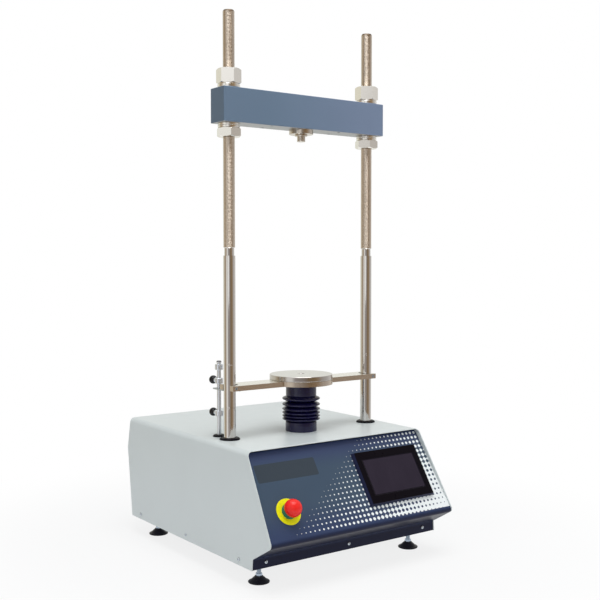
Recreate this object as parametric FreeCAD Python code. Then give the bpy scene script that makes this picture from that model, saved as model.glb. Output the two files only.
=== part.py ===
import FreeCAD, Part
import math
import os
from FreeCAD import Vector

os.makedirs("parts", exist_ok=True)

# Compression testing machine on a bench casing. Millimetres, floor at zero, +Z up.
# The operator stands on the -Y side. X is zero midway between the two columns.

# Casing: a folded steel cover over a tray, on four levelling feet
foot_height = 44.0
case_height = 248.0
case_width_bottom = 534.0
case_width_top = 504.0
case_fold_radius = 13.0
sheet = 2.0
tray_sheet = 2.5
tray_flange = 22.0

# Side outline of the casing, distances in front of and behind the column plane
toe_reach = 187.0
toe_height = 24.0
nose_reach = 256.0
nose_height = 64.0
nose_radius = 10.0
brow_reach = 144.0
rear_top_reach = 414.0
rear_waist_reach = 421.0
rear_waist_height = 170.0
rear_toe_reach = 377.0
rear_fold_radius = 6.0
flange_fold_radius = 3.0
footprint_middle = 84.4

# Front fascia, set back between the side walls
fascia_set_back_low = 1.7
fascia_set_back_high = 12.2
fascia_flange = 16.0
side_play = 0.4
panel_set_back = 2.0

# How far cutting tools reach past what they cut
past = 10.0

# Columns
column_inset = 42.0
column_d = 28.0
column_plain = 424.0
column_neck = 17.0
column_neck_d = 23.0
column_thread = 539.0
column_thread_d = 27.0
mark_low = 74.0
ram_stroke = 100.0
mark_gap = 3.0
mark_depth = 0.35
end_chamfer = 1.5

# Running clearance of sliding and turning fits, and the gap under turning seats
fit = 0.05
seat = 0.1
soft_gap = 0.3

# Load plate and side frames inside the casing
load_plate_below_top = 12.0
load_plate_t = 36.0
load_plate_side_room = 4.0
load_plate_d = 130.0
side_frame_t = 12.0
side_frame_d = 180.0
side_frame_window_d = 90.0
base_nut_af = 41.0
base_nut_h = 19.0
base_nut_turn = 30.0
column_below_nut = 6.0
load_plate_chamfer = 6.0
frame_screw_inset = 15.0
side_window_low = 45.0
side_window_high = 50.0
side_window_radius = 12.0
ram_hole_play = 4.0

# Socket head screws of the frame, the jack housing and the motor
frame_screw = {"head_d": 13.0, "head_h": 8.0, "shank_d": 8.0, "grip": 48.0}
housing_screw = {"head_d": 16.0, "head_h": 10.0, "shank_d": 10.0, "grip": 36.0}
motor_screw = {"head_d": 8.5, "head_h": 5.0, "shank_d": 5.0, "grip": 14.0}
socket_share = 0.45

# Crosshead, its nuts and the load cell adapter
crosshead_past_columns = 31.0
crosshead_d = 58.0
crosshead_h = 79.0
crosshead_above_case = 725.0
crosshead_chamfer = 1.2
collar_h = 9.5
collar_d = 52.0
upper_nut_h = 34.5
lower_nut_h = 21.0
column_nut_af = 50.0
washer_t = 5.2
washer_d = 51.0
washer_edge = 0.7
collar_chamfer = 1.5
upper_nut_turn = 22.0
lower_nut_turn = 8.0
fixture_hole_x = 198.0
fixture_hole_y = 40.0
fixture_hole_d = 8.0
fixture_hole_deep = 20.0
adapter_d = 58.0
adapter_flange_t = 11.0
adapter_step_d = 30.0
adapter_step_h = 4.0
adapter_edge = 1.0
stud_d = 20.0
stud_h = 13.0
stud_in_crosshead = 30.0

# Ram: platen, guide bar, screw
bar_above_case = 114.0
bar_t = 12.0
bar_w = 58.0
bar_past_columns = 9.0
fork_gap = 30.0
fork_end_inside_columns = 20.0
platen_d = 153.0
platen_t = 12.0
platen_hole_d = 12.0
ram_d = 40.0
ram_length = 306.0
ram_flange_d = 61.0
ram_flange_t = 12.0
ram_spigot_d = 24.0
platen_screw_circle = 50.0
platen_screw_d = 5.0
platen_screw_head_d = 8.5
platen_screw_below_top = 5.0
platen_edge = 1.0
set_screw_d = 8.0
set_screw_key_d = 4.0
set_screw_key_deep = 3.0
set_screw_proud = 0.4

# Trip plate under the bar
trip_t = 3.0
trip_past_rod = 9.5
trip_inside_column = 36.0
trip_front = 5.0
trip_rear = 60.0
trip_play = 3.0
trip_rod_play = 1.0
trip_screw_d = 4.0
trip_screw_head_d = 7.0
trip_screw_head_h = 2.2
trip_screw_deep = 8.0
trip_screws_inside_column = ((28.0, 2.0), (28.0, 20.0))

# Stop rod behind the left column, with its collars and knobs
rod_d = 10.0
rod_inside_column = 0.5
rod_behind = 48.0
rod_above_case = 173.5
rod_below_case = 137.0
rod_cap_h = 4.5
rod_cap_d = 12.5
rod_cap_bevel = 1.6
rod_cap_bevel_h = 2.0
rod_end_bevel = 1.0
stop_collar_d = 19.0
stop_collar_h = 12.4
top_collar_up = 157.0
top_collar_h = 13.0
upper_stop_up = 125.0
lower_stop_up = 48.5
knob_d = 20.0
knob_reach = 26.0
knob_screw_d = 6.0
knob_neck_d = 10.0
collar_edge = 0.6
collar_set_hole_d = 5.0
cam_up_rod = 43.0
cam_h = 8.0

# Bracket on the load plate that guides the stop rod and holds the two limit switches
shelf_up_rod = 8.0
shelf_past_rod = 12.0
bracket_from_rod = 15.5
bracket_plate_t = 3.0
bracket_front = 32.0
bracket_rear = 64.0
bracket_top_w = 22.0
switch_t = 9.0
switch_l = 20.0
switch_h = 10.0
switch_gap = 3.6
switch_button_d = 3.0
switch_button_h = 3.4
switch_button_in = 7.0
spring_gap = 0.3
spring_wire = 0.8

# Bellows
bellows_collar_d = 76.0
bellows_hole_inset = 6.0
bellows_low_h = 21.5
bellows_high_h = 26.5
bellows_peak_d = 92.0
bellows_valley_share = 1.0
bellows_foot_valley_d = 69.0
bellows_head_valley_d = 71.0
bellows_head_less = 2.0
bellows_wall = 2.5
bellows_peak_flat = 1.8
bellows_first_valley = 2.6
bellows_peaks = (29.4, 36.6, 44.4, 53.3, 64.5, 78.5)

# Grommets
grommet_h = 4.0
grommet_d = 48.0
rod_grommet_d = 30.0
grommet_neck = 3.0
grommet_lip = 2.0
grommet_edge_h = 1.5

# Jack: housing, lift nut with belt pulley, bearings
housing_flange = 130.0
housing_flange_t = 14.0
housing_d = 110.0
housing_h = 104.0
housing_lip = 6.0
housing_corner_radius = 14.0
housing_screw_inset = 12.0
housing_rib_t = 8.0
housing_rib_inset = 4.0
bearing_outer_d = 90.0
bearing_h = 22.0
bearing_shoulder = 4.0
race_share = 0.28
seal_set_in = 1.5
nut_d = 60.0
corner_bevel_share = 0.75
flat_face_share = 0.97
nut_collar = 4.0
pulley_d = 124.0
pulley_belt_d = 116.0
pulley_rim = 3.0
pulley_below_housing = 6.0

# Belt, motor and bracket
belt_w = 16.0
belt_t = 4.0
motor_behind = 150.0
motor_pulley_d = 44.0
motor_belt_d = 36.0
motor_shaft_d = 16.0
motor_w = 80.0
motor_h = 78.0
motor_edge = 9.0
motor_screw_inset = 6.0
motor_shaft_in = 16.0
lead_box = (36.0, 16.0, 28.0)
lead_box_below_top = 6.0
gearbox_flange_t = 8.0
gearbox_flange_radius = 6.0
gearbox_d = 76.0
gearbox_h = 46.0
bracket_w = 124.0
bracket_d = 96.0
bracket_t = 6.0
bracket_above_pulley = 12.0
bracket_fold = 3.0
bracket_shaft_play = 3.0

# Emergency stop, in the fascia's own axes: across, up the slope
estop_from_side = 76.0
estop_up = 71.0
legend_d = 60.0
legend_t = 1.5
estop_barrel_d = 22.0
estop_collar_d = 35.0
estop_collar_h = 12.0
estop_stem_d = 12.0
estop_head_d = 40.0
estop_head_base = 16.0
estop_head_h = 24.5
contact_block_w = 30.0
contact_block_deep = 42.0
contact_block_longer = 4.0
barrel_deep = 12.0
stem_deep = 32.0
stem_well = 8.0
head_skirt = 5.5
head_wall = 1.8
head_lip = 0.5
stem_in_head = 8.0

# Display, in the fascia's own axes
display_from_side = 141.5
display_up = 112.5
bezel_w = 186.0
bezel_h = 126.0
bezel_base_w = 195.0
bezel_base_h = 131.0
bezel_t = 10.0
window_w = 156.0
window_h = 88.0
glass_margin = 4.0
glass_t = 2.0
glass_recess = 1.2
display_box_w = 172.0
display_box_h = 106.0
display_box_deep = 30.0
display_step_h = 1.0

# Rear panel fittings, in the panel's own axes: across, up the slope
inlet_from_side = 117.0
inlet_up = 62.0
inlet_w = 58.0
inlet_h = 34.0
inlet_flange_t = 2.5
inlet_deep = 26.0
socket_w = 25.0
socket_h = 17.0
socket_deep = 17.0
socket_offset = -13.0
rocker_offset = 16.0
rocker_w = 12.0
rocker_l = 18.0
rocker_tilt = 9.0
rocker_play = 0.4
rocker_swing_room = 0.8
rocker_pocket_deep = 9.0
rocker_pivot_up = -1.0
rocker_pin_d = 3.0
rocker_pin_l = 2.0
rocker_below = 3.0
rocker_ends_up = 3.6
rocker_middle_up = 2.2
rocker_back_short = 1.5
inlet_step = 4.0
pin_places = ((-6.5, -1.5), (0.0, 3.0), (6.5, -1.5))
pin_w = 2.0
pin_h = 4.0
pin_below_face = 7.0
port_plate_from_side = 137.0
port_plate_up = 62.0
port_plate_w = 84.0
port_plate_h = 34.0
port_plate_t = 2.0
port_step = 5.0
port_cuts = ((-24.0, 15.0, 12.0), (0.0, 15.0, 12.0), (24.0, 10.0, 9.0))
port_deep = 12.0
port_back = 6.0
vent_slots = 9
vent_slot_w = 5.0
vent_slot_l = 60.0
vent_pitch = 11.0
vent_up = 128.0
vent_from_side = 147.0

# Screws that hold the casing together
case_screw_up = 13.0
case_screw_head_d = 8.0
case_screw_head_h = 2.4
case_screw_d = 4.0
case_screw_past = 3.0
case_screw_dome = 0.6
strip_screw_from_side = 38.0
side_screw_behind = (-134.5, 97.5, 329.0)
rear_screw_from_side = 52.0

# Levelling feet
foot_from_side = 47.0
foot_from_strip = 43.0
foot_from_rear = 55.0
foot_pad_d = 48.0
foot_rim_h = 3.0
foot_cone_h = 11.5
foot_hex_af = 13.0
foot_hex_h = 6.5
foot_spindle_d = 10.0
foot_boss_d = 22.0
foot_boss_h = 14.0
foot_cone_low_d = 24.0
foot_cone_high_d = 19.0
foot_rim_in = 3.0
foot_neck_d = 8.0
foot_neck_deep = 8.0
foot_hex_turn = 15.0
foot_spindle_past = 12.0

# Power supply, motor drive and control board on the tray
electronics_from_rear = 162.0
supply_d = 130.0
supply_h = 50.0
supply_to_board = 9.0
supply_from_side = 61.0
terminals_size = (92.0, 12.0, 18.0)
drive_size = (70.0, 120.0, 130.0)
drive_from_side = 77.0
drive_fins = 9
drive_fin_t = 3.0
drive_fin_h = 20.0
board_size = (170.0, 110.0, 1.6)
board_standoff = 10.0
board_behind_supply = 20.0
standoff_inset = 6.0
standoff_d = 6.0

# Parts on the board: left edge, middle in depth, width, depth and height
board_parts = (
    (-50.0, 30.0, 30.0, 30.0, 3.0),
    (10.0, 25.0, 24.0, 24.0, 2.5),
    (-60.0, 85.0, 26.0, 12.0, 9.0),
    (-20.0, 85.0, 26.0, 12.0, 9.0),
    (55.0, 80.0, 28.0, 16.0, 11.0),
)

# Levels worked out from the sizes above
case_bottom = foot_height
case_top = case_bottom + case_height
load_top = case_top - load_plate_below_top
load_bottom = load_top - load_plate_t
tray_top = case_bottom + tray_sheet
half_case = case_width_bottom / 2
load_plate_w = min(case_width_bottom, case_width_top) - 2 * (sheet + load_plate_side_room)
column_x = load_plate_w / 2 - column_inset
crosshead_w = 2 * (column_x + crosshead_past_columns)
bar_length = 2 * (column_x + bar_past_columns)
fork_end = column_x - fork_end_inside_columns
rod_left = column_x - rod_inside_column
bracket_plate_x = bracket_from_rod - rod_left
trip_left = rod_left + trip_past_rod
trip_right = column_x - trip_inside_column
trip_screw_places = [(inside - column_x, y) for inside, y in trip_screws_inside_column]
estop_across = estop_from_side - half_case
display_across = half_case - display_from_side
inlet_across = half_case - inlet_from_side
port_plate_across = port_plate_from_side - half_case
vent_across = half_case - vent_from_side
strip_screw_x = half_case - strip_screw_from_side
rear_screw_x = half_case - rear_screw_from_side
foot_x = half_case - foot_from_side
foot_front = toe_reach - foot_from_strip
foot_rear = rear_toe_reach - foot_from_rear
supply_left = supply_from_side - half_case
supply_right = -board_size[0] / 2 - supply_to_board
drive_right = half_case - drive_from_side
electronics_front = rear_toe_reach - electronics_from_rear
column_r = column_d / 2
thread_r = column_thread_d / 2
neck_start = case_top + column_plain
thread_start = neck_start + column_neck
column_top = thread_start + column_thread
crosshead_bottom = case_top + crosshead_above_case
crosshead_top = crosshead_bottom + crosshead_h
bar_bottom = case_top + bar_above_case
bar_top = bar_bottom + bar_t
platen_top = bar_top + platen_t
ram_bottom = bar_bottom - ram_length
housing_bottom = load_bottom - housing_h
pulley_top = housing_bottom - pulley_below_housing
pulley_bottom = pulley_top - belt_w - 2 * pulley_rim
belt_bottom = pulley_bottom + pulley_rim
bracket_bottom = pulley_top + bracket_above_pulley
rod_top = case_top + rod_above_case
rod_bottom = case_top - rod_below_case
cam_low = rod_bottom + cam_up_rod
shelf_low = rod_bottom + shelf_up_rod
lower_bearing_low = housing_bottom + housing_lip
upper_bearing_low = load_bottom - housing_flange_t - bearing_h
trip_screw_end = bar_bottom + trip_screw_deep
estop_bore = estop_stem_d / 2 + fit
glass_front = bezel_t - glass_recess
glass_back = glass_front - glass_t
side_lean = (case_width_bottom - case_width_top) / 2 / case_height


def vec(x, y, z):
    return Vector(x, y, z)


def cylinder(radius, low, high, x=0.0, y=0.0):
    return Part.makeCylinder(radius, high - low, vec(x, y, low))


def cylinder_y(radius, front, back, x, z):
    return Part.makeCylinder(radius, back - front, vec(x, front, z), vec(0, 1, 0))


def block(x0, x1, y0, y1, z0, z1):
    return Part.makeBox(x1 - x0, y1 - y0, z1 - z0, vec(x0, y0, z0))


def turned(outline, x=0.0, y=0.0):
    """Solid of revolution about a vertical axis, from (radius, height) points."""
    points = [vec(x + r, y, z) for r, z in outline]
    face = Part.Face(Part.makePolygon(points + points[:1]))
    return face.revolve(vec(x, y, 0), vec(0, 0, 1), 360)


def hexagon(across_flats, low, high, x, y, turn):
    """Hexagon bar whose ends are turned back to a cone, as a nut's are."""
    corner = across_flats / math.sqrt(3)
    angles = [math.radians(turn + 60 * i) for i in range(7)]
    points = [vec(x + corner * math.cos(a), y + corner * math.sin(a), low) for a in angles]
    bar = Part.Face(Part.makePolygon(points)).extrude(vec(0, 0, high - low))
    drop = (corner - across_flats / 2) * corner_bevel_share
    flat = across_flats / 2 * flat_face_share
    outline = [(0, low), (flat, low), (corner, low + drop), (corner, high - drop), (flat, high), (0, high)]
    return bar.common(turned(outline, x, y))


def rounded_path(points, radii):
    """Edges of a polyline in 3-D whose inner corners are rounded to the given radii."""
    edges = []
    start = points[0]
    for i in range(1, len(points) - 1):
        before = (points[i - 1] - points[i]).normalize()
        after = (points[i + 1] - points[i]).normalize()
        half = before.getAngle(after) / 2
        radius = radii[i - 1]
        if radius < 0.01:
            edges.append(Part.makeLine(start, points[i]))
            start = points[i]
            continue
        back_off = radius / math.tan(half)
        first = points[i] + before * back_off
        last = points[i] + after * back_off
        middle_way = (before + after).normalize()
        middle = points[i] + middle_way * (radius / math.sin(half) - radius)
        edges.append(Part.makeLine(start, first))
        edges.append(Part.Arc(first, middle, last).toShape())
        start = last
    edges.append(Part.makeLine(start, points[-1]))
    return edges


def offset_points(points, distance):
    """Corners of a polyline moved sideways, to the left of its run, in its own 2-D plane."""
    moved = []
    normals = []
    for (a, b), (c, d) in zip(points, points[1:]):
        length = math.hypot(c - a, d - b)
        normals.append((-(d - b) / length, (c - a) / length))
    for i, (a, b) in enumerate(points):
        n1 = normals[max(i - 1, 0)]
        n2 = normals[min(i, len(normals) - 1)]
        scale = distance / (1 + n1[0] * n2[0] + n1[1] * n2[1])
        moved.append((a + (n1[0] + n2[0]) * scale, b + (n1[1] + n2[1]) * scale))
    return moved


def folded_sheet(points, radii, thickness, to_space, travel):
    """Sheet of even thickness whose outer side follows the points, pushed along travel."""
    inner = offset_points(points, thickness)
    inner_radii = []
    for i in range(1, len(points) - 1):
        (a, b), (c, d), (e, f) = points[i - 1:i + 2]
        turns_left = (c - a) * (f - d) - (d - b) * (e - c) > 0
        inner_radii.append(max(radii[i - 1] + (-thickness if turns_left else thickness), 0.0))
    outside = [to_space(a, b) for a, b in points]
    inside = [to_space(a, b) for a, b in inner]
    edges = rounded_path(outside, radii)
    edges.append(Part.makeLine(outside[-1], inside[-1]))
    edges += rounded_path(inside[::-1], inner_radii[::-1])
    edges.append(Part.makeLine(inside[0], outside[0]))
    return Part.Face(Part.Wire(edges)).extrude(travel)


def half_width(z, inset=0.0):
    """Half the casing's width at a height, less an inset measured square to the side."""
    return half_case - side_lean * (z - case_bottom) - inset * math.hypot(1, side_lean)


def inside_cover(inset):
    """Everything under the cover and between its leaning sides, less an inset."""
    top = case_top - inset
    corners = [
        (half_width(0, inset), 0),
        (half_width(top, inset), top),
        (-half_width(top, inset), top),
        (-half_width(0, inset), 0),
    ]
    points = [vec(x, -nose_reach - past, z) for x, z in corners]
    edges = rounded_path(points, [case_fold_radius - inset] * 2)
    edges.append(Part.makeLine(points[-1], points[0]))
    return Part.Face(Part.Wire(edges)).extrude(vec(0, nose_reach + rear_waist_reach + 2 * past, 0))


def rear_wall_y(z, inset=0.0):
    """Y of the lower rear wall at a height, less an inset measured square to it."""
    run = (rear_waist_reach - rear_toe_reach) / rear_waist_height
    return rear_toe_reach + run * (z - case_bottom) - inset * math.hypot(1, run)


def frame_at(origin, across, up):
    """Placement whose x runs across, y up and z square out of a sloping panel."""
    out = across.cross(up)
    rows = []
    for i in range(3):
        rows += [across[i], up[i], out[i], origin[i]]
    return FreeCAD.Placement(FreeCAD.Matrix(*rows, 0, 0, 0, 1))


def set_on(shape, place):
    copy = shape.copy()
    copy.Placement = place.multiply(copy.Placement)
    return copy


def save(name, *solids):
    shape = Part.makeCompound(list(solids)) if len(solids) > 1 else solids[0]
    shape = shape.copy()
    shape.translate(vec(0, -footprint_middle, 0))
    shape.exportStep("parts/" + name + ".step")


# The front edge of the side walls runs from the nose to the brow
nose = (-nose_reach, case_bottom + nose_height)
brow = (-brow_reach, case_top)
edge_length = math.hypot(brow[0] - nose[0], brow[1] - nose[1])
edge_out = (-(brow[1] - nose[1]) / edge_length, (brow[0] - nose[0]) / edge_length)
fascia_nose = (nose[0] - edge_out[0] * fascia_set_back_low, nose[1] - edge_out[1] * fascia_set_back_low)
fascia_brow = (brow[0] - edge_out[0] * fascia_set_back_high, brow[1] - edge_out[1] * fascia_set_back_high)
fascia_length = math.hypot(fascia_brow[0] - fascia_nose[0], fascia_brow[1] - fascia_nose[1])
fascia_up = vec(0, fascia_brow[0] - fascia_nose[0], fascia_brow[1] - fascia_nose[1]).normalize()
fascia_frame = frame_at(vec(0, *fascia_nose), vec(1, 0, 0), fascia_up)
strip_y = -(toe_reach - fascia_set_back_low)
rear_up = vec(0, rear_waist_reach - rear_toe_reach, rear_waist_height).normalize()
rear_frame = frame_at(vec(0, rear_wall_y(case_bottom, panel_set_back), case_bottom), vec(-1, 0, 0), rear_up)


def on_fascia(solid):
    return set_on(solid, fascia_frame)


def on_rear(solid):
    return set_on(solid, rear_frame)


def side_profile():
    """The casing seen from the side, pushed across its width."""
    slope = (brow[0] - nose[0]) / (brow[1] - nose[1])
    above = past
    rear_run = (rear_top_reach - rear_waist_reach) / (case_height - rear_waist_height)
    corners = [
        (-toe_reach, case_bottom),
        (-toe_reach, case_bottom + toe_height),
        nose,
        (brow[0] + slope * above, case_top + above),
        (rear_top_reach + rear_run * above, case_top + above),
        (rear_waist_reach, case_bottom + rear_waist_height),
        (rear_toe_reach, case_bottom),
    ]
    points = [vec(-case_width_bottom, y, z) for y, z in corners]
    edges = rounded_path(points + points[:1], [0, nose_radius, 0, 0, rear_fold_radius, 0])
    return Part.Face(Part.Wire(edges)).extrude(vec(2 * case_width_bottom, 0, 0))


def side_screw_holes():
    """Drills through the cover's sides and the tray's flanges."""
    holes = []
    z = case_bottom + case_screw_up
    for side in (-1, 1):
        for y in side_screw_behind:
            start = vec(side * (half_case - 2 * past), y, z)
            holes.append(Part.makeCylinder(case_screw_d / 2, 3 * past, start, vec(side, 0, 0)))
    return holes


def cover():
    """Top and both sides in one folded sheet, trimmed to the side outline."""
    corners = [
        (half_width(case_bottom), case_bottom),
        (half_width(case_top), case_top),
        (-half_width(case_top), case_top),
        (-half_width(case_bottom), case_bottom),
    ]
    start = -nose_reach - past
    travel = vec(0, nose_reach + rear_waist_reach + 2 * past, 0)
    fold = folded_sheet(corners, [case_fold_radius] * 2, sheet, lambda x, z: vec(x, start, z), travel)
    body = fold.common(side_profile())
    under = case_top - sheet
    for side in (-1, 1):
        body = round_hole(body, column_r + grommet_neck, under, case_top, side * column_x)
    body = round_hole(body, rod_d / 2 + grommet_neck, under, case_top, -rod_left, rod_behind)
    body = round_hole(body, bellows_collar_d / 2 - bellows_hole_inset, under, case_top)
    return body.cut(side_screw_holes())


def front_fascia():
    """Folded sheet: strip, under slope, nose, sloping front and a flange under the cover."""
    corners = [
        (fascia_brow[0] + fascia_flange, fascia_brow[1]),
        fascia_brow,
        fascia_nose,
        (strip_y, case_bottom + toe_height),
        (strip_y, case_bottom),
    ]
    radii = [flange_fold_radius, nose_radius - 1, flange_fold_radius]
    half = half_case
    body = folded_sheet(corners, radii, sheet, lambda y, z: vec(-half, y, z), vec(2 * half, 0, 0))
    body = body.common(inside_cover(sheet + side_play))
    body = body.cut(on_fascia(cylinder(estop_barrel_d / 2, -past, past, estop_across, estop_up)))
    body = body.cut(on_fascia(display_block(display_box_w, display_box_h, -past, past)))
    z = case_bottom + case_screw_up
    for x in (-strip_screw_x, 0, strip_screw_x):
        body = body.cut(cylinder_y(case_screw_d / 2, strip_y - past, strip_y + past, x, z))
    return body


def slot_cutter(length, width, depth):
    """Upright slot with round ends, centred on the origin of a panel's axes."""
    straight = length / 2 - width / 2
    body = block(-width / 2, width / 2, -straight, straight, -depth, depth)
    for end in (-straight, straight):
        body = body.fuse(cylinder(width / 2, -depth, depth, 0, end))
    return body.removeSplitter()


def rear_panel():
    """Folded rear sheet with two groups of vent slots and the fittings' cut-outs."""
    lean = math.hypot(1, (rear_waist_reach - rear_toe_reach) / rear_waist_height)
    top = case_top - sheet - side_play
    corners = [
        (rear_toe_reach - panel_set_back * lean, case_bottom),
        (rear_waist_reach - panel_set_back * lean, case_bottom + rear_waist_height),
        (rear_top_reach - panel_set_back, top),
        (rear_top_reach - panel_set_back - fascia_flange, top),
    ]
    half = half_case
    radii = [rear_fold_radius, flange_fold_radius]
    body = folded_sheet(corners, radii, sheet, lambda y, z: vec(-half, y, z), vec(2 * half, 0, 0))
    body = body.common(inside_cover(sheet + side_play))
    slot = slot_cutter(vent_slot_l, vent_slot_w, past)
    for group in (-vent_across, vent_across):
        for i in range(vent_slots):
            x = group + (i - (vent_slots - 1) / 2) * vent_pitch
            one = slot.copy()
            one.translate(vec(x, vent_up, 0))
            body = body.cut(on_rear(one))
    body = body.cut(on_rear(at_inlet(0, 0, inlet_w - 2 * inlet_step, inlet_h - 2 * inlet_step, -past, past)))
    body = body.cut(on_rear(port_block(-past, past)))
    for x in (-rear_screw_x, 0, rear_screw_x):
        body = body.cut(on_rear(cylinder(case_screw_d / 2, -past, past, x, case_screw_up)))
    return body


def tray_space(inset, low, high):
    """Space inside the casing's walls between two heights, less an inset all round."""
    front = strip_y + sheet + inset
    corners = [
        (front, low),
        (front, high),
        (rear_wall_y(high, panel_set_back + sheet + inset), high),
        (rear_wall_y(low, panel_set_back + sheet + inset), low),
    ]
    points = [vec(-case_width_bottom, y, z) for y, z in corners]
    face = Part.Face(Part.makePolygon(points + points[:1]))
    return face.extrude(vec(2 * case_width_bottom, 0, 0)).common(inside_cover(sheet + inset))


def foot_places():
    return {
        "front_left": (-foot_x, -foot_front),
        "front_right": (foot_x, -foot_front),
        "rear_left": (-foot_x, foot_rear),
        "rear_right": (foot_x, foot_rear),
    }


def tray():
    """Bottom tray with turned-up edges and the four threaded foot bosses."""
    high = case_bottom + tray_flange
    body = tray_space(0, case_bottom, high).cut(tray_space(tray_sheet, tray_top, high + past))
    for x, y in foot_places().values():
        body = body.fuse(cylinder(foot_boss_d / 2, case_bottom, tray_top + foot_boss_h, x, y))
        body = round_hole(body, foot_spindle_d / 2 + fit, case_bottom, tray_top + foot_boss_h, x, y)
    z = case_bottom + case_screw_up
    for x in (-strip_screw_x, 0, strip_screw_x):
        body = body.cut(cylinder_y(case_screw_d / 2, strip_y, strip_y + past, x, z))
    body = body.cut(side_screw_holes())
    for x in (-rear_screw_x, 0, rear_screw_x):
        body = body.cut(on_rear(cylinder(case_screw_d / 2, -past, past, x, case_screw_up)))
    return body


def case_screw(start, direction, hold):
    """Pan head screw: a low domed head with its shank through the sheets."""
    head = Part.makeCylinder(case_screw_head_d / 2, case_screw_head_h, start, direction)
    top = [e for e in head.Edges if abs((e.CenterOfMass - start).dot(direction) - case_screw_head_h) < 0.01]
    head = head.makeFillet(case_screw_head_h * case_screw_dome, top)
    shank = Part.makeCylinder(case_screw_d / 2, hold, start - direction * hold, direction)
    return head.fuse(shank).removeSplitter()


def case_screws():
    """Three in the front strip, three in each side and three in the rear panel."""
    hold = sheet + tray_sheet + case_screw_past
    z = case_bottom + case_screw_up
    beside = half_width(z - case_screw_head_d / 2) + fit
    screws = [case_screw(vec(x, strip_y, z), vec(0, -1, 0), hold) for x in (-strip_screw_x, 0, strip_screw_x)]
    for side in (-1, 1):
        screws += [case_screw(vec(side * beside, y, z), vec(side, 0, 0), hold) for y in side_screw_behind]
    for x in (-rear_screw_x, 0, rear_screw_x):
        screws.append(on_rear(case_screw(vec(x, case_screw_up, 0), vec(0, 0, 1), hold)))
    return screws


def column_outline():
    """Column from its threaded foot up: shoulder, plain length with two ring marks, neck, thread."""
    foot = load_bottom - base_nut_h - column_below_nut
    outline = [
        (0, foot),
        (thread_r - end_chamfer, foot),
        (thread_r, foot + end_chamfer),
        (thread_r, load_top),
        (column_r, load_top),
    ]
    for mark in (case_top + mark_low, case_top + mark_low + ram_stroke):
        for line in (mark - mark_gap / 2, mark + mark_gap / 2):
            outline.append((column_r, line - mark_depth))
            outline.append((column_r - mark_depth, line))
            outline.append((column_r, line + mark_depth))
    outline += [
        (column_r, neck_start - end_chamfer),
        (column_r - end_chamfer, neck_start),
        (column_neck_d / 2, neck_start),
        (column_neck_d / 2, thread_start),
        (thread_r, thread_start + (column_thread_d - column_neck_d) / 2),
        (thread_r, column_top - end_chamfer),
        (thread_r - end_chamfer, column_top),
        (0, column_top),
    ]
    return outline


def round_hole(body, radius, low, high, x=0.0, y=0.0):
    return body.cut(cylinder(radius, low - 1, high + 1, x, y))


def frame_screw_places():
    x = load_plate_w / 2 - side_frame_t / 2
    y = load_plate_d / 2 - frame_screw_inset
    return [(sx * x, sy * y) for sx in (-1, 1) for sy in (-1, 1)]


def housing_screw_places():
    reach = housing_flange / 2 - housing_screw_inset
    return [(sx * reach, sy * reach) for sx in (-1, 1) for sy in (-1, 1)]


def motor_screw_places():
    reach = motor_w / 2 - motor_screw_inset
    return [(sx * reach, motor_behind + sy * reach) for sx in (-1, 1) for sy in (-1, 1)]


def socket_screw(size, seat_z, x, y, way):
    """Socket head screw whose head rests at seat_z and whose shank runs the way given."""
    socket = size["shank_d"] * socket_share
    head = size["head_h"]
    outline = [
        (0, seat_z - way * size["grip"]),
        (size["shank_d"] / 2, seat_z - way * size["grip"]),
        (size["shank_d"] / 2, seat_z),
        (size["head_d"] / 2, seat_z),
        (size["head_d"] / 2, seat_z + way * head),
        (socket, seat_z + way * head),
        (socket, seat_z + way * head / 2),
        (0, seat_z + way * head / 2),
    ]
    return turned(outline, x, y)


def load_plate():
    """Thick plate under the cover that ties both columns to the jack housing."""
    half_w = load_plate_w / 2
    half_d = load_plate_d / 2
    body = block(-half_w, half_w, -half_d, half_d, load_bottom, load_top)
    upright = [e for e in body.Edges if abs(e.BoundBox.ZLength - load_plate_t) < 0.01]
    body = body.makeChamfer(load_plate_chamfer, upright)
    for side in (-1, 1):
        body = round_hole(body, thread_r, load_bottom, load_top, side * column_x)
    body = round_hole(body, ram_d / 2 + ram_hole_play, load_bottom, load_top)
    body = round_hole(body, rod_d / 2 + fit, load_bottom, load_top, -rod_left, rod_behind)
    head_low = load_top - frame_screw["head_h"]
    for x, y in frame_screw_places():
        body = round_hole(body, frame_screw["shank_d"] / 2, load_bottom, load_top, x, y)
        body = body.cut(cylinder(frame_screw["head_d"] / 2, head_low, load_top + 1, x, y))
    for x, y in housing_screw_places():
        deep = housing_screw["grip"] - housing_flange_t
        body = body.cut(cylinder(housing_screw["shank_d"] / 2, load_bottom - 1, load_bottom + deep, x, y))
    return body


def side_frames():
    """Two upright plates that carry the load plate on the tray, each with a window."""
    plates = []
    half_d = side_frame_d / 2
    for side in (-1, 1):
        inner = side * (load_plate_w / 2 - side_frame_t)
        outer = side * load_plate_w / 2
        plate = block(min(inner, outer), max(inner, outer), -half_d, half_d, tray_top, load_bottom)
        low = tray_top + side_window_low
        high = load_bottom - side_window_high
        half_window = side_frame_window_d / 2
        window = block(min(inner, outer) - 1, max(inner, outer) + 1, -half_window, half_window, low, high)
        corners = [e for e in window.Edges if abs(e.BoundBox.XLength - side_frame_t - 2) < 0.01]
        plate = plate.cut(window.makeFillet(side_window_radius, corners))
        low = load_bottom - (frame_screw["grip"] + frame_screw["head_h"] - load_plate_t)
        for x, y in frame_screw_places():
            if x * side > 0:
                plate = plate.cut(cylinder(frame_screw["shank_d"] / 2, low, load_bottom + 1, x, y))
        plates.append(plate)
    return plates


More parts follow.
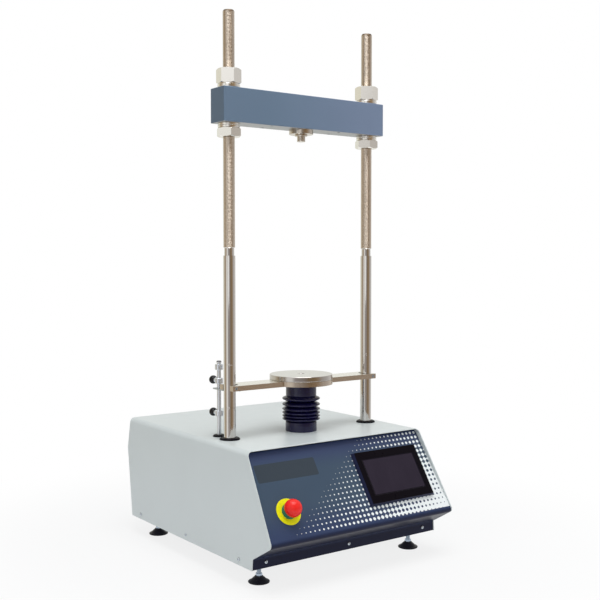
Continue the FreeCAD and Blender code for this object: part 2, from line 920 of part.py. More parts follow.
def jack_housing():
    """Cast housing under the load plate: square flange, ribbed barrel and bearing bore."""
    half = housing_flange / 2
    under = load_bottom - housing_flange_t
    flange = block(-half, half, -half, half, under, load_bottom)
    corners = [e for e in flange.Edges if abs(e.BoundBox.ZLength - housing_flange_t) < 0.01]
    body = flange.makeFillet(housing_corner_radius, corners)
    body = body.fuse(cylinder(housing_d / 2, housing_bottom, under))
    rib_side = -housing_rib_t / 2
    rib_low = housing_bottom + housing_h / 3
    rib_in = (housing_d + bearing_outer_d) / 4
    for turn in range(4):
        foot = vec(rib_in, rib_side, rib_low)
        tip = vec(half - housing_rib_inset, rib_side, under)
        root = vec(rib_in, rib_side, under)
        rib = Part.Face(Part.makePolygon([foot, tip, root, foot])).extrude(vec(0, housing_rib_t, 0))
        rib.rotate(vec(0, 0, 0), vec(0, 0, 1), 90 * turn)
        body = body.fuse(rib)
    body = body.cut(cylinder(bearing_outer_d / 2, lower_bearing_low, under))
    body = round_hole(body, bearing_outer_d / 2 - bearing_shoulder, housing_bottom, lower_bearing_low)
    body = round_hole(body, ram_d / 2 + ram_hole_play, under, load_bottom)
    for x, y in housing_screw_places():
        body = round_hole(body, housing_screw["shank_d"] / 2, under, load_bottom, x, y)
    return body


def bearing(low):
    """Sealed bearing: two races with a thinner seal between them."""
    bore = nut_d / 2 + fit
    outer = bearing_outer_d / 2
    race = (outer - bore) * race_share
    inner_r = bore + race
    outer_r = outer - race
    high = low + bearing_h
    seal_low = low + seal_set_in
    seal_high = high - seal_set_in
    return turned([
        (bore, low), (inner_r, low), (inner_r, seal_low), (outer_r, seal_low), (outer_r, low), (outer, low),
        (outer, high), (outer_r, high), (outer_r, seal_high), (inner_r, seal_high), (inner_r, high),
        (bore, high),
    ])


def lift_nut():
    """Nut that turns on the ram screw, with a collar between its bearings and the belt pulley below."""
    bore = ram_d / 2 + fit
    r = nut_d / 2
    rim = pulley_d / 2
    groove = pulley_belt_d / 2
    collar_low = lower_bearing_low + bearing_h + seat
    collar_high = upper_bearing_low - seat
    collar = r + nut_collar
    top = load_bottom - housing_flange_t - seat
    return turned([
        (bore, pulley_bottom), (rim, pulley_bottom), (rim, belt_bottom), (groove, belt_bottom),
        (groove, belt_bottom + belt_w), (rim, belt_bottom + belt_w), (rim, pulley_top), (r, pulley_top),
        (r, collar_low), (collar, collar_low), (collar, collar_high), (r, collar_high), (r, top),
        (bore, top),
    ])


def motor_pulley():
    """Small pulley with the gearbox shaft fixed in it."""
    rim = motor_pulley_d / 2
    groove = motor_belt_d / 2
    top = belt_bottom + belt_w
    pulley = turned([
        (motor_shaft_d / 2, pulley_bottom), (rim, pulley_bottom), (rim, belt_bottom), (groove, belt_bottom),
        (groove, top), (rim, top), (rim, pulley_top), (motor_shaft_d / 2, pulley_top),
    ], 0, motor_behind)
    shaft_top = bracket_bottom + bracket_t + motor_shaft_in
    shaft = cylinder(motor_shaft_d / 2, pulley_bottom, shaft_top, 0, motor_behind)
    return [pulley, shaft]


def belt_face(big, small):
    """Flat outline of a belt round two pulleys, at the belt's lower edge."""
    z = belt_bottom + soft_gap
    lean = math.asin((big - small) / motor_behind)
    across, along = math.cos(lean), math.sin(lean)
    a = vec(big * across, big * along, z)
    b = vec(small * across, motor_behind + small * along, z)
    c = vec(-small * across, motor_behind + small * along, z)
    d = vec(-big * across, big * along, z)
    far = Part.Arc(b, vec(0, motor_behind + small, z), c).toShape()
    near = Part.Arc(d, vec(0, -big, z), a).toShape()
    return Part.Face(Part.Wire([Part.makeLine(a, b), far, Part.makeLine(c, d), near]))


def drive_belt():
    big = pulley_belt_d / 2 + soft_gap
    small = motor_belt_d / 2 + soft_gap
    ring = belt_face(big + belt_t, small + belt_t).cut(belt_face(big, small))
    return ring.extrude(vec(0, 0, belt_w - 2 * soft_gap))


def gear_motor():
    """Motor on its gearbox, standing on the bracket, shaft hole downwards."""
    low = bracket_bottom + bracket_t
    half = motor_w / 2
    top = low + gearbox_h + motor_h
    flange = block(-half, half, motor_behind - half, motor_behind + half, low, low + gearbox_flange_t)
    corners = [e for e in flange.Edges if abs(e.BoundBox.ZLength - gearbox_flange_t) < 0.01]
    flange = flange.makeFillet(gearbox_flange_radius, corners)
    gearbox = cylinder(gearbox_d / 2, low, low + gearbox_h, 0, motor_behind)
    motor = block(-half, half, motor_behind - half, motor_behind + half, low + gearbox_h, top)
    corners = [e for e in motor.Edges if abs(e.BoundBox.ZLength - motor_h) < 0.01]
    motor = motor.makeChamfer(motor_edge, corners)
    wide, deep, high = lead_box
    box_top = top - lead_box_below_top
    back = motor_behind + half
    leads = block(-wide / 2, wide / 2, back, back + deep, box_top - high, box_top)
    body = flange.fuse(gearbox).fuse(motor).fuse(leads).removeSplitter()
    body = body.cut(cylinder(motor_shaft_d / 2 + fit, low - 1, low + motor_shaft_in + 1, 0, motor_behind))
    for x, y in motor_screw_places():
        body = body.cut(cylinder(motor_screw["shank_d"] / 2, low - 1, low + gearbox_flange_t + 1, x, y))
    return body


def motor_bracket():
    """Bent bridge over the belt that carries the motor on the tray."""
    half_w = bracket_w / 2
    front = motor_behind - bracket_d / 2
    top = bracket_bottom + bracket_t
    corners = [(half_w, tray_top), (half_w, top), (-half_w, top), (-half_w, tray_top)]
    radii = [bracket_t + bracket_fold] * 2
    body = folded_sheet(corners, radii, bracket_t, lambda x, z: vec(x, front, z), vec(0, bracket_d, 0))
    body = round_hole(body, motor_shaft_d / 2 + bracket_shaft_play, bracket_bottom, top, 0, motor_behind)
    for x, y in motor_screw_places():
        body = round_hole(body, motor_screw["shank_d"] / 2, bracket_bottom, top, x, y)
    return body


def cap_screws():
    """Four into each of the side frames, the load plate and the motor bracket."""
    seat_z = load_top - frame_screw["head_h"]
    screws = [socket_screw(frame_screw, seat_z, x, y, 1) for x, y in frame_screw_places()]
    seat_z = load_bottom - housing_flange_t
    screws += [socket_screw(housing_screw, seat_z, x, y, -1) for x, y in housing_screw_places()]
    seat_z = bracket_bottom + bracket_t + gearbox_flange_t
    screws += [socket_screw(motor_screw, seat_z, x, y, 1) for x, y in motor_screw_places()]
    return screws


def switch_bracket():
    """Bent plate under the load plate: it guides the stop rod and holds the two switches."""
    x0 = bracket_plate_x
    t = bracket_plate_t
    far = -rod_left - shelf_past_rod
    plate = block(x0, x0 + t, bracket_front, bracket_rear, shelf_low, load_bottom)
    flange = block(x0, x0 + bracket_top_w, bracket_front, bracket_rear, load_bottom - t, load_bottom)
    shelf = block(far, x0 + t, bracket_front, bracket_rear, shelf_low, shelf_low + t)
    body = plate.fuse(flange).fuse(shelf).removeSplitter()
    return round_hole(body, rod_d / 2 + fit, shelf_low, shelf_low + t, -rod_left, rod_behind)


def limit_switches():
    """Two small switches, one over and one under the rod's cam collar."""
    switches = []
    x1 = bracket_plate_x
    front = rod_behind - switch_l / 2
    for way, face in ((1, cam_low + cam_h + switch_gap), (-1, cam_low - switch_gap)):
        near = face + way * switch_button_h
        far = near + way * switch_h
        low, high = sorted((near, far))
        body = block(x1 - switch_t, x1, front, front + switch_l, low, high)
        low, high = sorted((face, near))
        button = cylinder(switch_button_d / 2, low, high, x1 - switch_button_in, rod_behind)
        switches.append(body.fuse(button))
    return switches


def centring_spring():
    """Outer shape of the spring under the cam collar; it changes length with the rod."""
    low = shelf_low + bracket_plate_t
    high = cam_low - soft_gap
    bore = rod_d / 2 + spring_gap
    tube = cylinder(bore + spring_wire, low, high, -rod_left, rod_behind)
    return round_hole(tube, bore, low, high, -rod_left, rod_behind)


def power_supply():
    """Sheet metal case with its terminal block at the front."""
    front = electronics_front
    body = block(supply_left, supply_right, front, front + supply_d, tray_top, tray_top + supply_h)
    terminals_w, terminals_d, terminals_h = terminals_size
    x0 = (supply_left + supply_right - terminals_w) / 2
    terminals = block(x0, x0 + terminals_w, front - terminals_d, front, tray_top, tray_top + terminals_h)
    return body.fuse(terminals)


def motor_drive():
    """Drive with a finned heat sink on its outer side."""
    wide, deep, high = drive_size
    top = tray_top + high
    right = drive_right
    fin_root = right - drive_fin_h
    body = block(right - wide, fin_root, electronics_front, electronics_front + deep, tray_top, top)
    pitch = deep / drive_fins
    for i in range(drive_fins):
        y = electronics_front + pitch * (i + 0.5) - drive_fin_t / 2
        body = body.fuse(block(fin_root - 1, right, y, y + drive_fin_t, tray_top, top))
    return body


def control_board():
    """Circuit board on four standoffs, with its larger components."""
    wide, deep, t = board_size
    front = electronics_front + board_behind_supply
    z = tray_top + board_standoff
    solids = [block(-wide / 2, wide / 2, front, front + deep, z, z + t)]
    for x in (-wide / 2 + standoff_inset, wide / 2 - standoff_inset):
        for y in (front + standoff_inset, front + deep - standoff_inset):
            solids.append(cylinder(standoff_d / 2, tray_top, z, x, y))
    for x, y, part_w, part_d, part_h in board_parts:
        y += front - part_d / 2
        solids.append(block(x, x + part_w, y, y + part_d, z + t, z + t + part_h))
    return solids


def ram_screw():
    """Ram screw with the flange and spigot that carry the guide bar and the platen."""
    r = ram_d / 2
    flange = ram_flange_d / 2
    body = turned([
        (0, ram_bottom), (r - 2, ram_bottom), (r, ram_bottom + 2), (r, bar_bottom - ram_flange_t),
        (flange, bar_bottom - ram_flange_t), (flange, bar_bottom), (ram_spigot_d / 2, bar_bottom),
        (ram_spigot_d / 2, bar_top), (0, bar_top),
    ])
    for x, y in platen_screw_places():
        body = round_hole(body, platen_screw_d / 2, bar_bottom - ram_flange_t, bar_bottom, x, y)
    return body


def platen_screw_places():
    reach = platen_screw_circle / 2 * math.sqrt(0.5)
    return [(sx * reach, sy * reach) for sx in (-1, 1) for sy in (-1, 1)]


def guide_bar():
    """Flat bar with a round middle under the platen and a fork round each column."""
    half_l = bar_length / 2
    half_w = bar_w / 2
    body = block(-half_l, half_l, -half_w, half_w, bar_bottom, bar_top)
    body = body.fuse(cylinder(platen_d / 2, bar_bottom, bar_top)).removeSplitter()
    slot_r = fork_gap / 2
    slot_middle = fork_end + slot_r
    for side in (-1, 1):
        start = side * slot_middle
        x0, x1 = sorted((start, side * (half_l + past)))
        body = body.cut(block(x0, x1, -slot_r, slot_r, bar_bottom - 1, bar_top + 1))
        body = round_hole(body, slot_r, bar_bottom, bar_top, start)
        for front, rear in ((-half_w - 1, -slot_r + 1), (slot_r - 1, half_w + 1)):
            body = body.cut(cylinder_y(set_screw_d / 2, front, rear, side * column_x, bar_bottom + bar_t / 2))
    body = round_hole(body, ram_spigot_d / 2, bar_bottom, bar_top)
    for x, y in platen_screw_places():
        body = round_hole(body, platen_screw_d / 2, bar_bottom, bar_top, x, y)
    for x, y in trip_screw_places:
        body = body.cut(cylinder(trip_screw_d / 2, bar_bottom - 1, trip_screw_end, x, y))
    return body


def platen():
    """Round ground platen with a centring hole and a chamfered rim."""
    r = platen_d / 2
    hole = platen_hole_d / 2
    edge = platen_edge
    body = turned([
        (hole, bar_top), (r - edge, bar_top), (r, bar_top + edge), (r, platen_top - edge),
        (r - edge, platen_top), (hole + edge, platen_top), (hole, platen_top - edge),
    ])
    for x, y in platen_screw_places():
        body = body.cut(cylinder(platen_screw_d / 2, bar_top - 1, platen_top - platen_screw_below_top, x, y))
    return body


def guide_bar_screws():
    """Set screws in the forks, screws up into the platen and screws of the trip plate."""
    screws = []
    z = bar_bottom + bar_t / 2
    for side in (-1, 1):
        for end in (-1, 1):
            tip = end * (column_r + fit)
            back = end * (bar_w / 2 + set_screw_proud)
            key_end = back - end * set_screw_key_deep
            screw = cylinder_y(set_screw_d / 2, *sorted((tip, back)), side * column_x, z)
            key = cylinder_y(set_screw_key_d / 2, *sorted((key_end, back)), side * column_x, z)
            screws.append(screw.cut(key))
    grip = ram_flange_t + bar_t + platen_t - platen_screw_below_top
    size = {"head_d": platen_screw_head_d, "head_h": platen_screw_d, "shank_d": platen_screw_d, "grip": grip}
    screws += [socket_screw(size, bar_bottom - ram_flange_t, x, y, -1) for x, y in platen_screw_places()]
    under = bar_bottom - trip_t
    for x, y in trip_screw_places:
        screws.append(turned([
            (0, under - trip_screw_head_h), (trip_screw_head_d / 2 - 1, under - trip_screw_head_h),
            (trip_screw_head_d / 2, under - 1), (trip_screw_head_d / 2, under), (trip_screw_d / 2, under),
            (trip_screw_d / 2, trip_screw_end), (0, trip_screw_end),
        ], x, y))
    return screws


def trip_plate():
    """Thin plate under the bar that reaches back round the column to the stop rod."""
    low = bar_bottom - trip_t
    around = column_r + trip_play
    rear = block(-trip_left, -trip_right, around - 1, trip_rear, low, bar_bottom)
    arm = block(-column_x + around / 2, -trip_right, -trip_front, trip_rear, low, bar_bottom)
    body = rear.fuse(arm).removeSplitter()
    body = round_hole(body, around, low, bar_bottom, -column_x)
    body = round_hole(body, rod_d / 2 + trip_rod_play, low, bar_bottom, -rod_left, rod_behind)
    for x, y in trip_screw_places:
        body = round_hole(body, trip_screw_d / 2, low, bar_bottom, x, y)
    return body


def bellows_outline():
    """Outer side of the bellows, from the cover up, as (radius, height) points."""
    low = case_top + bellows_low_h
    high = bar_bottom - soft_gap
    peak = bellows_peak_d / 2
    upper = (bellows_collar_d - bellows_head_less) / 2
    outline = [
        (bellows_collar_d / 2, case_top),
        (bellows_collar_d / 2, low),
        (bellows_foot_valley_d / 2, low + bellows_first_valley),
    ]
    last = 0.0
    for up in bellows_peaks:
        if last > 0:
            outline.append((peak - (up - last) * bellows_valley_share, case_top + (last + up) / 2))
        outline.append((peak, case_top + up - bellows_peak_flat / 2))
        outline.append((peak, case_top + up + bellows_peak_flat / 2))
        last = up
    outline.append((bellows_head_valley_d / 2, high - bellows_high_h - bellows_first_valley))
    outline.append((upper, high - bellows_high_h))
    outline.append((upper, high))
    return outline


def bellows():
    """Rubber tube of even wall between the cover and the guide bar."""
    outline = bellows_outline()
    inside = [(r - bellows_wall, z) for r, z in outline]
    return turned(outline + inside[::-1])


def grommets():
    """Rubber rings that seal the columns and the stop rod in the cover."""
    rings = []
    for x, y, bore, rim, play in (
        (-column_x, 0, column_r, grommet_d / 2, 0.0),
        (column_x, 0, column_r, grommet_d / 2, 0.0),
        (-rod_left, rod_behind, rod_d / 2, rod_grommet_d / 2, fit),
    ):
        neck = bore + grommet_neck
        lip = neck + grommet_lip
        under = case_top - sheet
        low = under - grommet_lip
        top = case_top + grommet_h
        rings.append(turned([
            (bore + play, low), (lip, low), (lip, under), (neck, under), (neck, case_top), (rim, case_top),
            (rim, case_top + grommet_edge_h), (rim - grommet_neck, top), (bore + play, top),
        ], x, y))
    return rings


def stop_rod():
    r = rod_d / 2
    edge = rod_end_bevel
    outline = [(0, rod_bottom), (r - edge, rod_bottom), (r, rod_bottom + edge), (r, rod_top), (0, rod_top)]
    return turned(outline, -rod_left, rod_behind)


def rod_cap():
    r = rod_cap_d / 2
    top = rod_top + rod_cap_h
    outline = [(0, rod_top), (r, rod_top), (r, top - rod_cap_bevel_h), (r - rod_cap_bevel, top), (0, top)]
    return turned(outline, -rod_left, rod_behind)


def ring(bore, r, low, high, edge, x, y=0.0):
    """Turned ring with a chamfer at both ends."""
    outline = [(bore, low), (r - edge, low), (r, low + edge), (r, high - edge), (r - edge, high)]
    return turned(outline + [(bore, high)], x, y)


def ring_on_rod(low, height, play):
    bore = rod_d / 2 + play
    return ring(bore, stop_collar_d / 2, low, low + height, collar_edge, -rod_left, rod_behind)


def rod_collars():
    """Fixed top collar with its set screw hole at the front, and the cam collar inside the casing."""
    low = case_top + top_collar_up
    top = ring_on_rod(low, top_collar_h, 0.0)
    hole_end = rod_behind - rod_d / 2 - 1.5
    z = low + top_collar_h / 2
    hole = cylinder_y(collar_set_hole_d / 2, rod_behind - stop_collar_d, hole_end, -rod_left, z)
    return [top.cut(hole), ring_on_rod(cam_low, cam_h, 0.0)]


def stop_collar(up):
    low = case_top + up
    body = ring_on_rod(low, stop_collar_h, fit)
    z = low + stop_collar_h / 2
    return body.cut(cylinder_y(knob_screw_d / 2 + fit, rod_behind, rod_behind + stop_collar_d, -rod_left, z))


def stop_knob(up):
    """Ball knob with a neck, on the screw that clamps the stop collar."""
    z = case_top + up + stop_collar_h / 2
    tip = rod_behind + rod_d / 2 + 2 * fit
    ball_y = rod_behind + knob_reach
    neck = rod_behind + stop_collar_d / 2 + soft_gap
    ball = Part.makeSphere(knob_d / 2, vec(-rod_left, ball_y, z))
    body = ball.fuse(cylinder_y(knob_neck_d / 2, neck, ball_y, -rod_left, z))
    return body.fuse(cylinder_y(knob_screw_d / 2, tip, ball_y, -rod_left, z)).removeSplitter()


def crosshead():
    """Solid painted crosshead with the column bores and a four hole fixture pattern below."""
    half_w = crosshead_w / 2
    half_d = crosshead_d / 2
    body = block(-half_w, half_w, -half_d, half_d, crosshead_bottom, crosshead_top)
    body = body.makeChamfer(crosshead_chamfer, body.Edges)
    for side in (-1, 1):
        body = round_hole(body, thread_r + fit, crosshead_bottom, crosshead_top, side * column_x)
    for x in (-fixture_hole_x / 2, fixture_hole_x / 2):
        for y in (-fixture_hole_y / 2, fixture_hole_y / 2):
            top = crosshead_bottom + fixture_hole_deep
            body = body.cut(cylinder(fixture_hole_d / 2, crosshead_bottom - 1, top, x, y))
    return body.cut(cylinder(stud_d / 2, crosshead_bottom - 1, crosshead_bottom + stud_in_crosshead))


def washers():
    """Turned collars over the crosshead and a pair of washers under it, at each column."""
    bore = thread_r + fit
    rings = []
    for side in (-1, 1):
        x = side * column_x
        high = crosshead_top + collar_h
        rings.append(ring(bore, collar_d / 2, crosshead_top, high, collar_chamfer, x))
        for i in range(2):
            high = crosshead_bottom - i * washer_t
            rings.append(ring(bore, washer_d / 2, high - washer_t, high, washer_edge, x))
    return rings


def base_nut(side):
    low = load_bottom - base_nut_h
    body = hexagon(base_nut_af, low, load_bottom, side * column_x, 0, base_nut_turn)
    return round_hole(body, thread_r, low, load_bottom, side * column_x)


def column_nut(low, height, side, turn):
    x = side * column_x
    body = hexagon(column_nut_af, low, low + height, x, 0, turn)
    return round_hole(body, thread_r + fit, low, low + height, x)


def load_cell_adapter():
    """Stepped adapter screwed up into the crosshead, with the stud that takes a load cell."""
    step = crosshead_bottom - adapter_flange_t
    shelf = step - adapter_step_h
    end = shelf - stud_h
    top = crosshead_bottom + stud_in_crosshead - 1
    stud_r = stud_d / 2
    step_r = adapter_step_d / 2
    flange_r = adapter_d / 2
    edge = adapter_edge
    return turned([
        (0, end), (stud_r - end_chamfer, end), (stud_r, end + end_chamfer), (stud_r, shelf),
        (step_r - edge, shelf), (step_r, shelf + edge), (step_r, step),
        (flange_r - edge, step), (flange_r, step + edge), (flange_r, crosshead_bottom),
        (stud_r, crosshead_bottom), (stud_r, top), (0, top),
    ])


def at_estop(outline):
    return on_fascia(turned(outline, estop_across, estop_up))


def estop_collar():
    """Green collar on the legend, with the threaded barrel through the fascia."""
    r = estop_collar_d / 2
    barrel = estop_barrel_d / 2
    top = legend_t + estop_collar_h
    return at_estop([
        (estop_bore, -barrel_deep), (barrel, -barrel_deep), (barrel, legend_t), (r, legend_t),
        (r, top - end_chamfer), (r - end_chamfer, top), (estop_bore, top),
    ])


def estop_head():
    """Mushroom head: hollow under its rim so that it passes the collar when pressed."""
    r = estop_head_d / 2
    base = estop_head_base
    top = base + estop_head_h
    skirt = base + head_skirt
    bore_top = skirt + stem_in_head
    inner = r - head_wall
    outline = [(0, bore_top), (estop_bore, bore_top), (estop_bore, skirt), (inner, skirt), (inner, base),
               (r - head_lip, base), (r, top - r)]
    points = [vec(a, 0, b) for a, b in outline]
    crown = vec(0, 0, top)
    on_arc = vec(r * math.sqrt(0.5), 0, top - r + r * math.sqrt(0.5))
    edges = [Part.makeLine(a, b) for a, b in zip(points, points[1:])]
    edges.append(Part.Arc(points[-1], on_arc, crown).toShape())
    edges.append(Part.makeLine(crown, points[0]))
    head = Part.Face(Part.Wire(edges)).revolve(vec(0, 0, 0), vec(0, 0, 1), 360)
    head.translate(vec(estop_across, estop_up, 0))
    return on_fascia(head)


def estop_stem():
    r = estop_stem_d / 2
    top = estop_head_base + head_skirt + stem_in_head - seat
    return at_estop([(0, -stem_deep), (r, -stem_deep), (r, top), (0, top)])


def contact_block():
    half_w = contact_block_w / 2
    half_h = half_w + contact_block_longer
    x0 = estop_across - half_w
    y0 = estop_up - half_h
    low = -barrel_deep - contact_block_deep
    body = block(x0, x0 + 2 * half_w, y0, y0 + 2 * half_h, low, -barrel_deep)
    return on_fascia(body.cut(cylinder(estop_bore + 1, -stem_deep - stem_well, 0, estop_across, estop_up)))


def legend_disc():
    bore = estop_barrel_d / 2
    r = legend_d / 2
    return at_estop([(bore, 0), (r, 0), (r, legend_t), (bore, legend_t)])


def panel_rectangle(width, height, z):
    x0 = display_across - width / 2
    y0 = display_up - height / 2
    corners = [(x0, y0), (x0 + width, y0), (x0 + width, y0 + height), (x0, y0 + height), (x0, y0)]
    return Part.makePolygon([vec(a, b, z) for a, b in corners])


def display_block(width, height, low, high):
    return Part.Face(panel_rectangle(width, height, low)).extrude(vec(0, 0, high - low))


def glass_block(low, high):
    return display_block(window_w + 2 * glass_margin, window_h + 2 * glass_margin, low, high)


def display_bezel():
    """Moulded frame that tapers from the fascia to its front, with the window pocket behind."""
    base = panel_rectangle(bezel_base_w, bezel_base_h, 0)
    body = Part.makeLoft([base, panel_rectangle(bezel_w, bezel_h, bezel_t)], True, True)
    flare = panel_rectangle(window_w + 2 * glass_recess, window_h + 2 * glass_recess, bezel_t)
    window = Part.makeLoft([panel_rectangle(window_w, window_h, glass_front), flare], True, True)
    pocket = glass_block(-display_step_h, glass_front)
    return on_fascia(body.cut(window).cut(pocket))


def display_glass():
    return on_fascia(glass_block(glass_back, glass_front))


def display_housing():
    """Body of the display behind the fascia, with the step that backs the glass."""
    box = display_block(display_box_w, display_box_h, -display_box_deep, 0)
    return on_fascia(box.fuse(glass_block(-display_step_h, glass_back)).removeSplitter())


def at_inlet(x, y, width, height, low, high):
    x0 = inlet_across + x
    y0 = inlet_up + y
    return block(x0 - width / 2, x0 + width / 2, y0 - height / 2, y0 + height / 2, low, high)


def rocker_pin(radius, reach):
    x = inlet_across + rocker_offset - reach
    return Part.makeCylinder(radius, 2 * reach, vec(x, inlet_up, rocker_pivot_up), vec(1, 0, 0))


def power_inlet():
    """Mains inlet with three pins in its socket and a pocket for the rocker switch."""
    body = at_inlet(0, 0, inlet_w, inlet_h, 0, inlet_flange_t)
    body = body.fuse(at_inlet(0, 0, inlet_w - 2 * inlet_step, inlet_h - 2 * inlet_step, -inlet_deep, 0))
    floor = inlet_flange_t - socket_deep
    body = body.cut(at_inlet(socket_offset, 0, socket_w, socket_h, floor, inlet_flange_t + 1))
    pocket_w = rocker_w + 2 * rocker_play
    pocket_l = rocker_l + 2 * rocker_play + 2 * rocker_swing_room
    body = body.cut(at_inlet(rocker_offset, 0, pocket_w, pocket_l, -rocker_pocket_deep, inlet_flange_t + 1))
    body = body.cut(rocker_pin(rocker_pin_d / 2 + fit, rocker_w / 2 + rocker_pin_l))
    tip = inlet_flange_t - pin_below_face
    for x, y in pin_places:
        body = body.fuse(at_inlet(socket_offset + x, y, pin_w, pin_h, floor - 1, tip))
    return on_rear(body.removeSplitter())


def switch_rocker():
    """Rocker, at rest tipped to its off side."""
    half = rocker_l / 2
    x0 = inlet_across + rocker_offset - rocker_w / 2
    back = half - rocker_back_short
    outline = [(-back, -rocker_below), (back, -rocker_below), (half, rocker_ends_up), (0, rocker_middle_up),
               (-half, rocker_ends_up)]
    points = [vec(x0, inlet_up + y, rocker_pivot_up + z) for y, z in outline]
    body = Part.Face(Part.makePolygon(points + points[:1])).extrude(vec(rocker_w, 0, 0))
    body = body.fuse(rocker_pin(rocker_pin_d / 2, rocker_w / 2 + rocker_pin_l - soft_gap)).removeSplitter()
    body.rotate(vec(0, inlet_up, rocker_pivot_up), vec(1, 0, 0), -rocker_tilt)
    return on_rear(body)


def at_ports(x, width, height, low, high):
    x0 = port_plate_across + x - width / 2
    y0 = port_plate_up - height / 2
    return block(x0, x0 + width, y0, y0 + height, low, high)


def port_block(low, high):
    """The part of the connectors that passes through the panel."""
    return at_ports(0, port_plate_w - 2 * port_step, port_plate_h - 2 * port_step, low, high)


def data_connectors():
    """Plate with two network sockets and one square data socket."""
    body = at_ports(0, port_plate_w, port_plate_h, 0, port_plate_t)
    body = body.fuse(port_block(-port_deep - port_back, 0)).removeSplitter()
    for x, width, height in port_cuts:
        body = body.cut(at_ports(x, width, height, port_plate_t - port_deep, port_plate_t + 1))
    return on_rear(body)


def levelling_foot(x, y):
    """Black pad and the threaded spindle with its hexagon, which screws into the tray."""
    rim = foot_pad_d / 2
    socket = foot_neck_d / 2
    cone_top = foot_rim_h + foot_cone_h
    socket_low = cone_top - foot_neck_deep
    pad = turned([
        (0, 0), (rim - 1, 0), (rim, 1), (rim, foot_rim_h), (rim - foot_rim_in, foot_rim_h + 1.5),
        (foot_cone_low_d / 2, cone_top - 3), (foot_cone_high_d / 2, cone_top), (socket, cone_top),
        (socket, socket_low), (0, socket_low),
    ], x, y)
    hexagon_top = cone_top + foot_hex_h
    spindle_top = tray_top + foot_boss_h + foot_spindle_past
    spindle = cylinder(socket, socket_low, cone_top, x, y)
    spindle = spindle.fuse(hexagon(foot_hex_af, cone_top, hexagon_top, x, y, foot_hex_turn))
    spindle = spindle.fuse(cylinder(foot_spindle_d / 2, hexagon_top, spindle_top, x, y))
    return [pad, spindle.removeSplitter()]


def column(side):
    return turned(column_outline(), side * column_x)


save("tray", tray())
save("cover", cover())
save("front_fascia", front_fascia())
save("rear_panel", rear_panel())
save("case_screws", *case_screws())
save("load_plate", load_plate())
save("side_frames", *side_frames())
save("column_left", column(-1))
save("column_right", column(1))
save("column_base_nuts", base_nut(-1), base_nut(1))
save("cap_screws", *cap_screws())
save("grommets", *grommets())
save("jack_housing", jack_housing())
save("nut_bearings", bearing(lower_bearing_low), bearing(upper_bearing_low))
save("lift_nut", lift_nut())
save("drive_belt", drive_belt())
save("gear_motor", gear_motor())
save("motor_pulley", *motor_pulley())
save("motor_bracket", motor_bracket())
save("switch_bracket", switch_bracket())
save("limit_switches", *limit_switches())
save("centring_spring", centring_spring())
save("power_supply", power_supply())
save("motor_drive", motor_drive())
save("control_board", *control_board())
save("ram_screw", ram_screw())
save("guide_bar", guide_bar())
save("platen", platen())
save("guide_bar_screws", *guide_bar_screws())
save("trip_plate", trip_plate())
save("bellows", bellows())
save("stop_rod", stop_rod())
save("rod_cap", rod_cap())
save("rod_collars", *rod_collars())
save("upper_stop_collar", stop_collar(upper_stop_up))
save("lower_stop_collar", stop_collar(lower_stop_up))
save("upper_stop_knob", stop_knob(upper_stop_up))
save("lower_stop_knob", stop_knob(lower_stop_up))
save("crosshead", crosshead())
save("washers", *washers())
save("load_cell_adapter", load_cell_adapter())
for name, side in (("left", -1), ("right", 1)):
    upper = crosshead_top + collar_h + seat
    lower = crosshead_bottom - 2 * washer_t - seat - lower_nut_h
    save("upper_nut_" + name, column_nut(upper, upper_nut_h, side, upper_nut_turn))
    save("lower_nut_" + name, column_nut(lower, lower_nut_h, side, lower_nut_turn))
save("estop_legend", legend_disc())
save("estop_collar", estop_collar())
save("estop_stem", estop_stem())
save("estop_head", estop_head())
save("estop_contact_block", contact_block())
save("display_bezel", display_bezel())
save("display_glass", display_glass())
save("display_housing", display_housing())
save("power_inlet", power_inlet())
save("switch_rocker", switch_rocker())
save("data_connectors", data_connectors())
for name, (x, y) in foot_places().items():
    save("foot_" + name, *levelling_foot(x, y))
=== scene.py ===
import math

import bmesh
import bpy
from mathutils import Matrix, Vector


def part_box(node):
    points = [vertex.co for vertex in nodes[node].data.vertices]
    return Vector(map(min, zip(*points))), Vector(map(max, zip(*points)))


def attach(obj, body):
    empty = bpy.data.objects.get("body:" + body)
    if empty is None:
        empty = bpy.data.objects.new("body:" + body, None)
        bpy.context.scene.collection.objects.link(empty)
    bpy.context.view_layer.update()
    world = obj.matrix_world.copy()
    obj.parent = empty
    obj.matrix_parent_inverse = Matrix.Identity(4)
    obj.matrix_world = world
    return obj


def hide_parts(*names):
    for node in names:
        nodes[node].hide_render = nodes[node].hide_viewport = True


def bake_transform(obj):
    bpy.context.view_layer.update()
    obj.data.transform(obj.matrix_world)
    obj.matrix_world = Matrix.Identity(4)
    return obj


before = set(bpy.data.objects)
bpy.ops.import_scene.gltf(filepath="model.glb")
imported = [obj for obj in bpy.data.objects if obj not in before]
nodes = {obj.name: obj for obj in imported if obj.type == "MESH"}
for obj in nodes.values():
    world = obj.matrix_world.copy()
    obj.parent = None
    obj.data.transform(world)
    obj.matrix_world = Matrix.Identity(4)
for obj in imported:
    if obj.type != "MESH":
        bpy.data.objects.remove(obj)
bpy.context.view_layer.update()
scene = bpy.context.scene
scene.view_settings.view_transform = "Standard"


